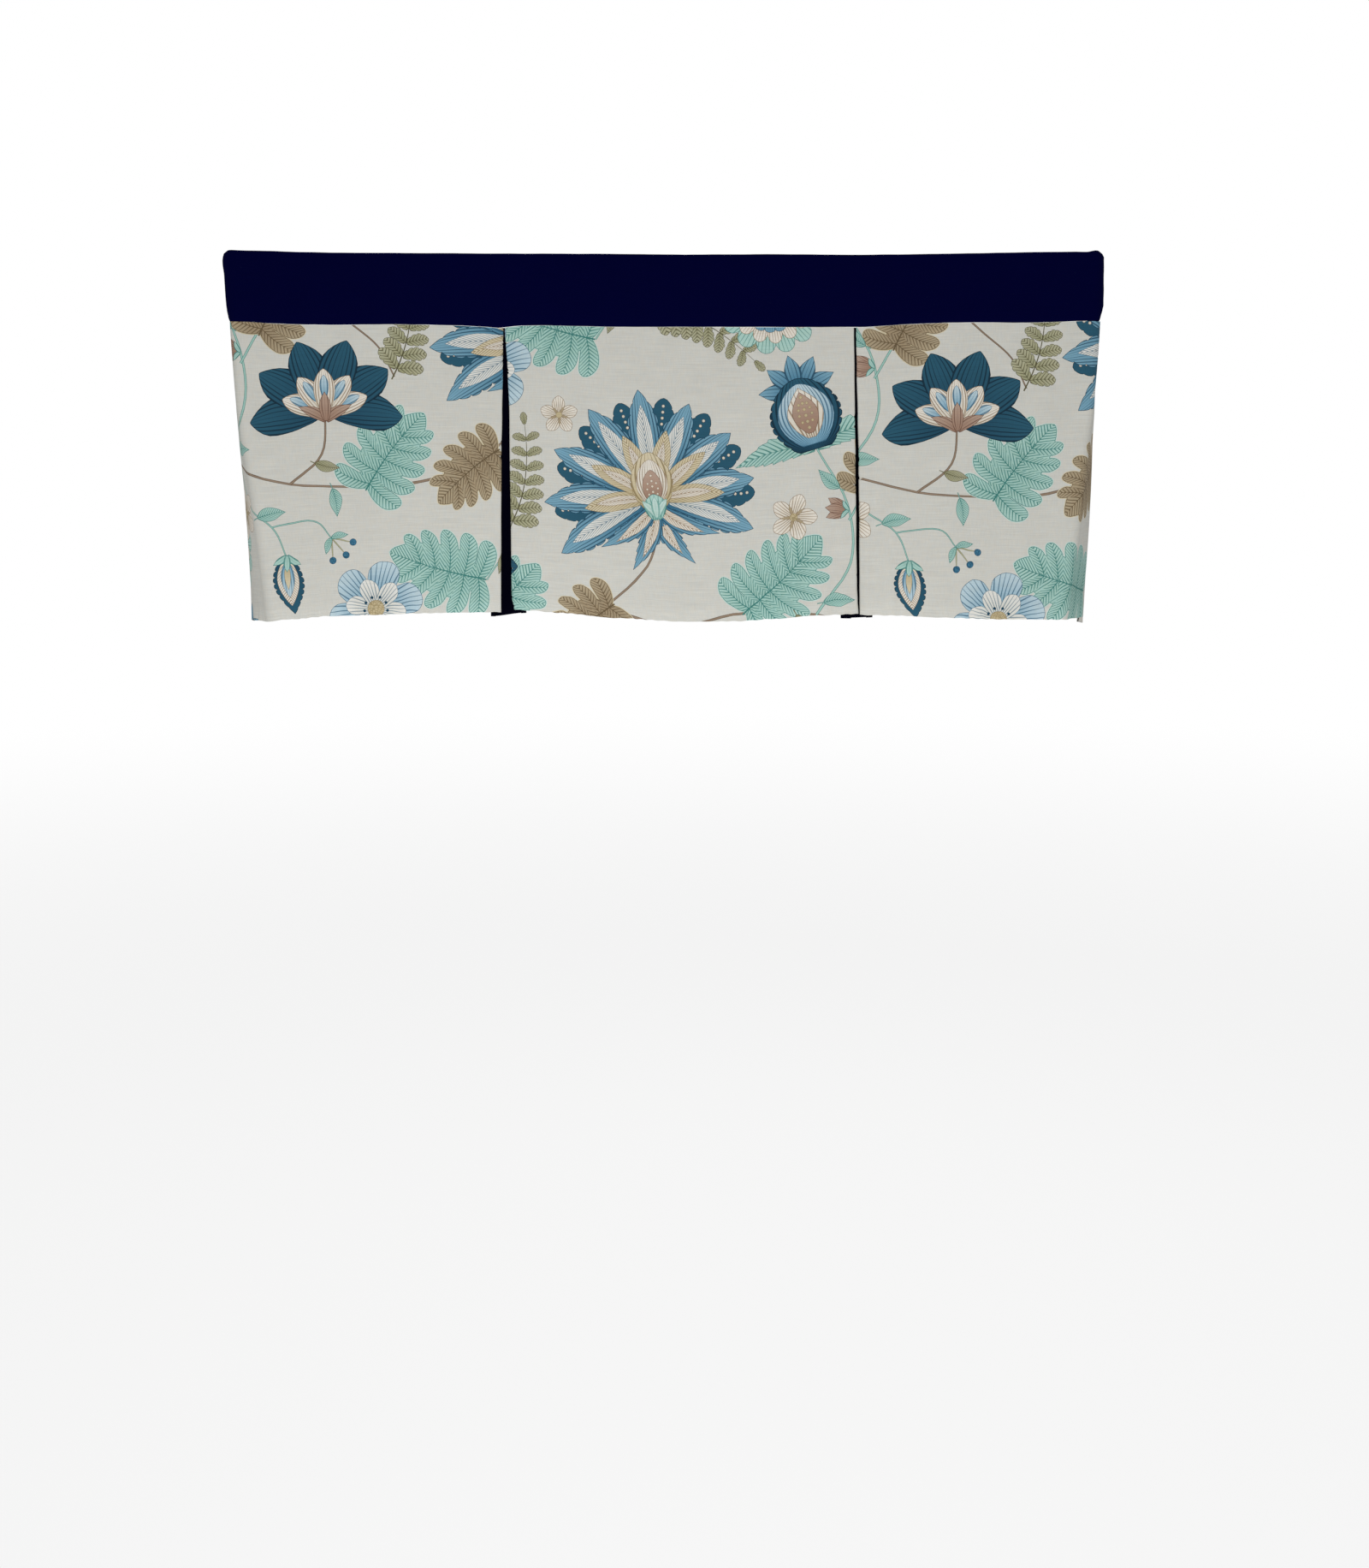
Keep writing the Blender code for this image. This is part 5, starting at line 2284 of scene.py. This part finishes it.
@dataclass
class Valance:
    """The band, the three panels, the two inserts and their stitches."""

    repeat: list[Patch] = field(default_factory=draw_repeat)

    def __post_init__(self) -> None:
        """Make the materials."""
        cotton = PrintedCotton(
            "printed_cotton", roughness=0.86, sheen=0.05, pitch=0.42 * MM, slub=1.0, twill=0.0,
            bump=0.10 * MM, gloss=0.20,
        )
        navy = PlainCloth(
            "navy_twill", roughness=0.95, sheen=0.0, pitch=0.40 * MM, slub=0.6, twill=0.55,
            bump=0.10 * MM, gloss=0.02, colour=linear("01022C"), lint=0.5,
        )
        self.cotton = cotton.make()
        self.reverse = replace(cotton, name="cotton_wrong_side", show=0.30).make()
        self.navy = navy.make()
        # Painted shade: the inserts' navy is darkened to near-black for the shade deep in the pleats.
        self.insert_navy = replace(navy, name="insert_navy", colour=linear("020210"), lint=0.0).make()
        self.thread = Thread("cream_thread", linear("E6E0D0")).make()

    def panel(
        self, name: str, plan: Callable[[float], Points], hem: Table, creases: Sequence[Crease],
        phase: float, print_from: tuple[float, float], corner: Corner | None = None,
    ) -> HungPiece:
        """A printed panel, meshed finely at its folds, at its return's edge and over its corner.

        Args:
            name: the solid's name.
            plan: the plan at a share of the drop.
            hem: the hem's height at shares of the width.
            creases: the listed creases.
            phase: where its puckers start.
            print_from: the place on the pattern where its top left corner was cut.
            corner: how its return hangs, where it has one.

        Returns:
            The panel, not yet built.
        """
        surface = HangingSurface(plan, hem, corner, creases, phase=phase)
        width, plain = surface.width, PLAIN_STEP
        fold = Stretch(width - FOLD_REACH, width, FINE_STEP)
        side = Side.NEITHER
        across = [Stretch(0, FOLD_REACH, FINE_STEP), Stretch(FOLD_REACH, fold.start, plain), fold]
        if corner is not None:
            side = corner.side
            across = [
                Stretch(0, SIDE_HEM_REACH, CLOSE_STEP), Stretch(SIDE_HEM_REACH, CORNER_FROM, plain),
                Stretch(CORNER_FROM, CORNER_TO, NEAR_STEP), Stretch(CORNER_TO, fold.start, plain), fold,
            ]
            if side is Side.RIGHT:
                across = [Stretch(width - run.end, width - run.start, run.step) for run in across]
        down = [Stretch(0, SEAM_REACH, NEAR_STEP), Stretch(SEAM_REACH, surface.drop, plain)]
        return HungPiece(name, surface, across, down, print_from, side)

    def pieces(self) -> list[HungPiece]:
        """The five sheets under the band.

        Returns:
            The panels from the left, and then the inserts.
        """
        found = [
            self.panel(
                "panel_left", partial(side_panel_plan, "panel_left", LEFT_CORNER), LEFT_HEM,
                LEFT_CREASES, 0.4, (0.395, 0.290), LEFT_CORNER,
            ),
            self.panel("panel_centre", centre_panel_plan, CENTRE_HEM, CENTRE_CREASES, 2.1, (0.000, 0.070)),
            self.panel(
                "panel_right", partial(side_panel_plan, "panel_right", RIGHT_CORNER), RIGHT_HEM,
                RIGHT_CREASES, 4.0, (0.455, 0.272), RIGHT_CORNER,
            ),
        ]
        for name, insert, hem in (
            ("pleat_insert_left", LEFT_INSERT, LEFT_INSERT_HEM),
            ("pleat_insert_right", RIGHT_INSERT, RIGHT_INSERT_HEM),
        ):
            surface = HangingSurface(partial(insert_plan, insert), hem, pucker=0.0)
            across = [Stretch(0, surface.width, CLOSE_STEP)]
            found.append(HungPiece(name, surface, across, [Stretch(0, surface.drop, INSERT_STEP)]))
        return found

    def build(self) -> None:
        """Build every piece in order."""
        HeadingBand(self.navy).build()
        for piece in self.pieces():
            printed = piece.print_from is not None
            materials = (self.cotton, self.reverse) if printed else (self.insert_navy, self.insert_navy)
            obj = piece.build(self.repeat if printed else [], materials)
            if printed:
                self.hem_stitches(piece)

    def hem_stitches(self, piece: HungPiece) -> None:
        """Sew the stitches that hold a panel's turned-up hem, on the wrong side.

        Args:
            piece: the panel.
        """
        width, drop = piece.surface.width, piece.surface.drop
        across = np.linspace(FOLD_REACH, width - FOLD_REACH, ROW_POINTS)
        flat = side_by_side(across, drop - HEM_HEIGHT + ROW_BELOW)
        places, normals = piece.surface.read(flat)
        line = places - normals * (piece.thickness(flat)[:, None] + ROW_PROUD)
        row = StitchRow(piece.name + "_hem_stitches", line, self.thread, seed=len(piece.name))
        row.build()


# Each hem's height at shares of its width, from the left
LEFT_HEM = (
    (0.00, -0.5090), (0.11, -0.5090), (0.19, -0.5052), (0.36, -0.5000), (0.50, -0.4985), (0.70, -0.4961),
    (0.85, -0.4952), (1.00, -0.4947),
)
CENTRE_HEM = (
    (0.00, -0.4912), (0.05, -0.4926), (0.13, -0.4958), (0.30, -0.5030), (0.50, -0.5080), (0.64, -0.5074),
    (0.76, -0.5040), (0.87, -0.4995), (1.00, -0.4975),
)
RIGHT_HEM = (
    (0.00, -0.4991), (0.15, -0.4995), (0.33, -0.5022), (0.63, -0.5048), (0.87, -0.5054), (1.00, -0.5046),
)
LEFT_INSERT_HEM = ((0.00, -0.5014), (1.00, -0.4966))
RIGHT_INSERT_HEM = ((0.00, -0.5046), (1.00, -0.5033))
LEFT_INSERT = Insert(("panel_left", "centre_left"), -0.2440, -0.2020, -0.2456, -0.1996)
RIGHT_INSERT = Insert(("centre_right", "panel_right"), 0.2480, 0.2880, 0.2554, 0.2959)

LEFT_CREASES = (
    Crease(0.420, 0.372, 1.45, 0.070, 0.011, -0.0012),
    Crease(0.447, 0.380, 1.60, 0.060, 0.012, -0.0011),
    Crease(0.300, 0.395, 0.10, 0.130, 0.016, 0.0009),
    Crease(0.205, 0.330, 1.35, 0.110, 0.020, 0.0008),
)
CENTRE_CREASES = (
    Crease(0.120, 0.385, 1.50, 0.070, 0.013, -0.0010),
    Crease(0.300, 0.385, 1.62, 0.080, 0.015, 0.0011),
    Crease(0.430, 0.380, 1.50, 0.060, 0.011, -0.0011),
    Crease(0.480, 0.250, 1.56, 0.180, 0.012, 0.0009),
)
RIGHT_CREASES = (
    Crease(0.060, 0.380, 1.55, 0.070, 0.013, 0.0011),
    Crease(0.032, 0.300, 1.58, 0.190, 0.011, -0.0012),
    Crease(0.200, 0.390, 1.50, 0.060, 0.013, -0.0009),
)


# ---- Camera and studio ----


@dataclass
class Studio:
    """The camera, the pale floor, and soft light from in front, from the sides and from behind."""

    camera_place: tuple[float, float, float] = (0.0288, -2.7488, -0.2902)
    camera_pitch: float = -9.4
    lens: float = 44.02
    sensor: float = 36.0
    floor_z: float = -2.10
    floor_radius: float = 12.0
    floor_alpha: float = 0.22
    floor_colour: Colour = (0.93, 0.93, 0.925)
    sky: float = 0.52
    aim: tuple[float, float, float] = (0.0, 0.0, -0.25)

    def camera(self) -> None:
        """Set the camera at the picture's viewing angle."""
        data = bpy.data.cameras.new("camera")
        data.lens = self.lens
        data.sensor_width = self.sensor
        data.clip_end = 200.0
        camera = in_scene("camera", data)
        camera.location = self.camera_place
        camera.rotation_euler = (math.radians(90.0 + self.camera_pitch), 0.0, 0.0)
        bpy.context.scene.camera = camera

    def floor(self) -> None:
        """Lay a pale matt floor."""
        bpy.ops.mesh.primitive_circle_add(vertices=96, radius=self.floor_radius, fill_type="NGON")
        floor = bpy.context.object
        floor.name = "floor"
        floor.location.z = self.floor_z
        material, w, shader = new_material("pale_floor", 0.9, 0.0)
        shader.inputs["Base Color"].default_value = (*self.floor_colour, 1.0)
        away = w.vector("LENGTH", w.node("ShaderNodeTexCoord").outputs["Object"])
        fade = w.ramp(away, self.floor_radius, 0.25 * self.floor_radius)
        w.put(w.times(fade, self.floor_alpha), shader.inputs["Alpha"])
        floor.data.materials.append(material)

    def light(self, name: str, place: tuple[float, float, float], size: float, power: float) -> None:
        """Hang a soft lamp that faces the valance.

        Args:
            name: its name.
            place: where it hangs.
            size: its width.
            power: watts.
        """
        data = bpy.data.lights.new(name, "AREA")
        data.shape = "DISK"
        data.size = size
        data.energy = power
        lamp = in_scene(name, data)
        lamp.location = place
        aim = Vector(self.aim) - Vector(place)
        lamp.rotation_euler = aim.to_track_quat("-Z", "Y").to_euler()

    def build(self) -> None:
        """Set up the whole studio."""
        self.camera()
        self.floor()
        self.light("key", (-1.5, -3.0, 1.1), 1.4, 6.5)
        self.light("fill", (2.0, -2.6, 0.0), 2.2, 8.0)
        self.light("low", (-0.2, -1.35, -1.55), 1.0, 15.0)
        self.light("back", (0.6, 2.8, 1.2), 2.0, 24.0)
        world = bpy.data.worlds.new("studio")
        world.use_nodes = True
        w = Wires(world.node_tree)
        sky = world.node_tree.nodes["Background"]
        sky.inputs["Color"].default_value = (1.0, 1.0, 1.0, 1.0)
        seen = w.node("ShaderNodeLightPath").outputs["Is Camera Ray"]
        w.put(w.math("MULTIPLY_ADD", seen, 1.0 - self.sky, self.sky), sky.inputs["Strength"])
        bpy.context.scene.world = world
        bpy.context.scene.view_settings.view_transform = "Standard"


def main() -> None:
    """Build the studio and the valance."""
    logging.basicConfig(level=logging.INFO, format="%(message)s")
    Studio().build()
    Valance().build()


if __name__ == "__main__":
    main()
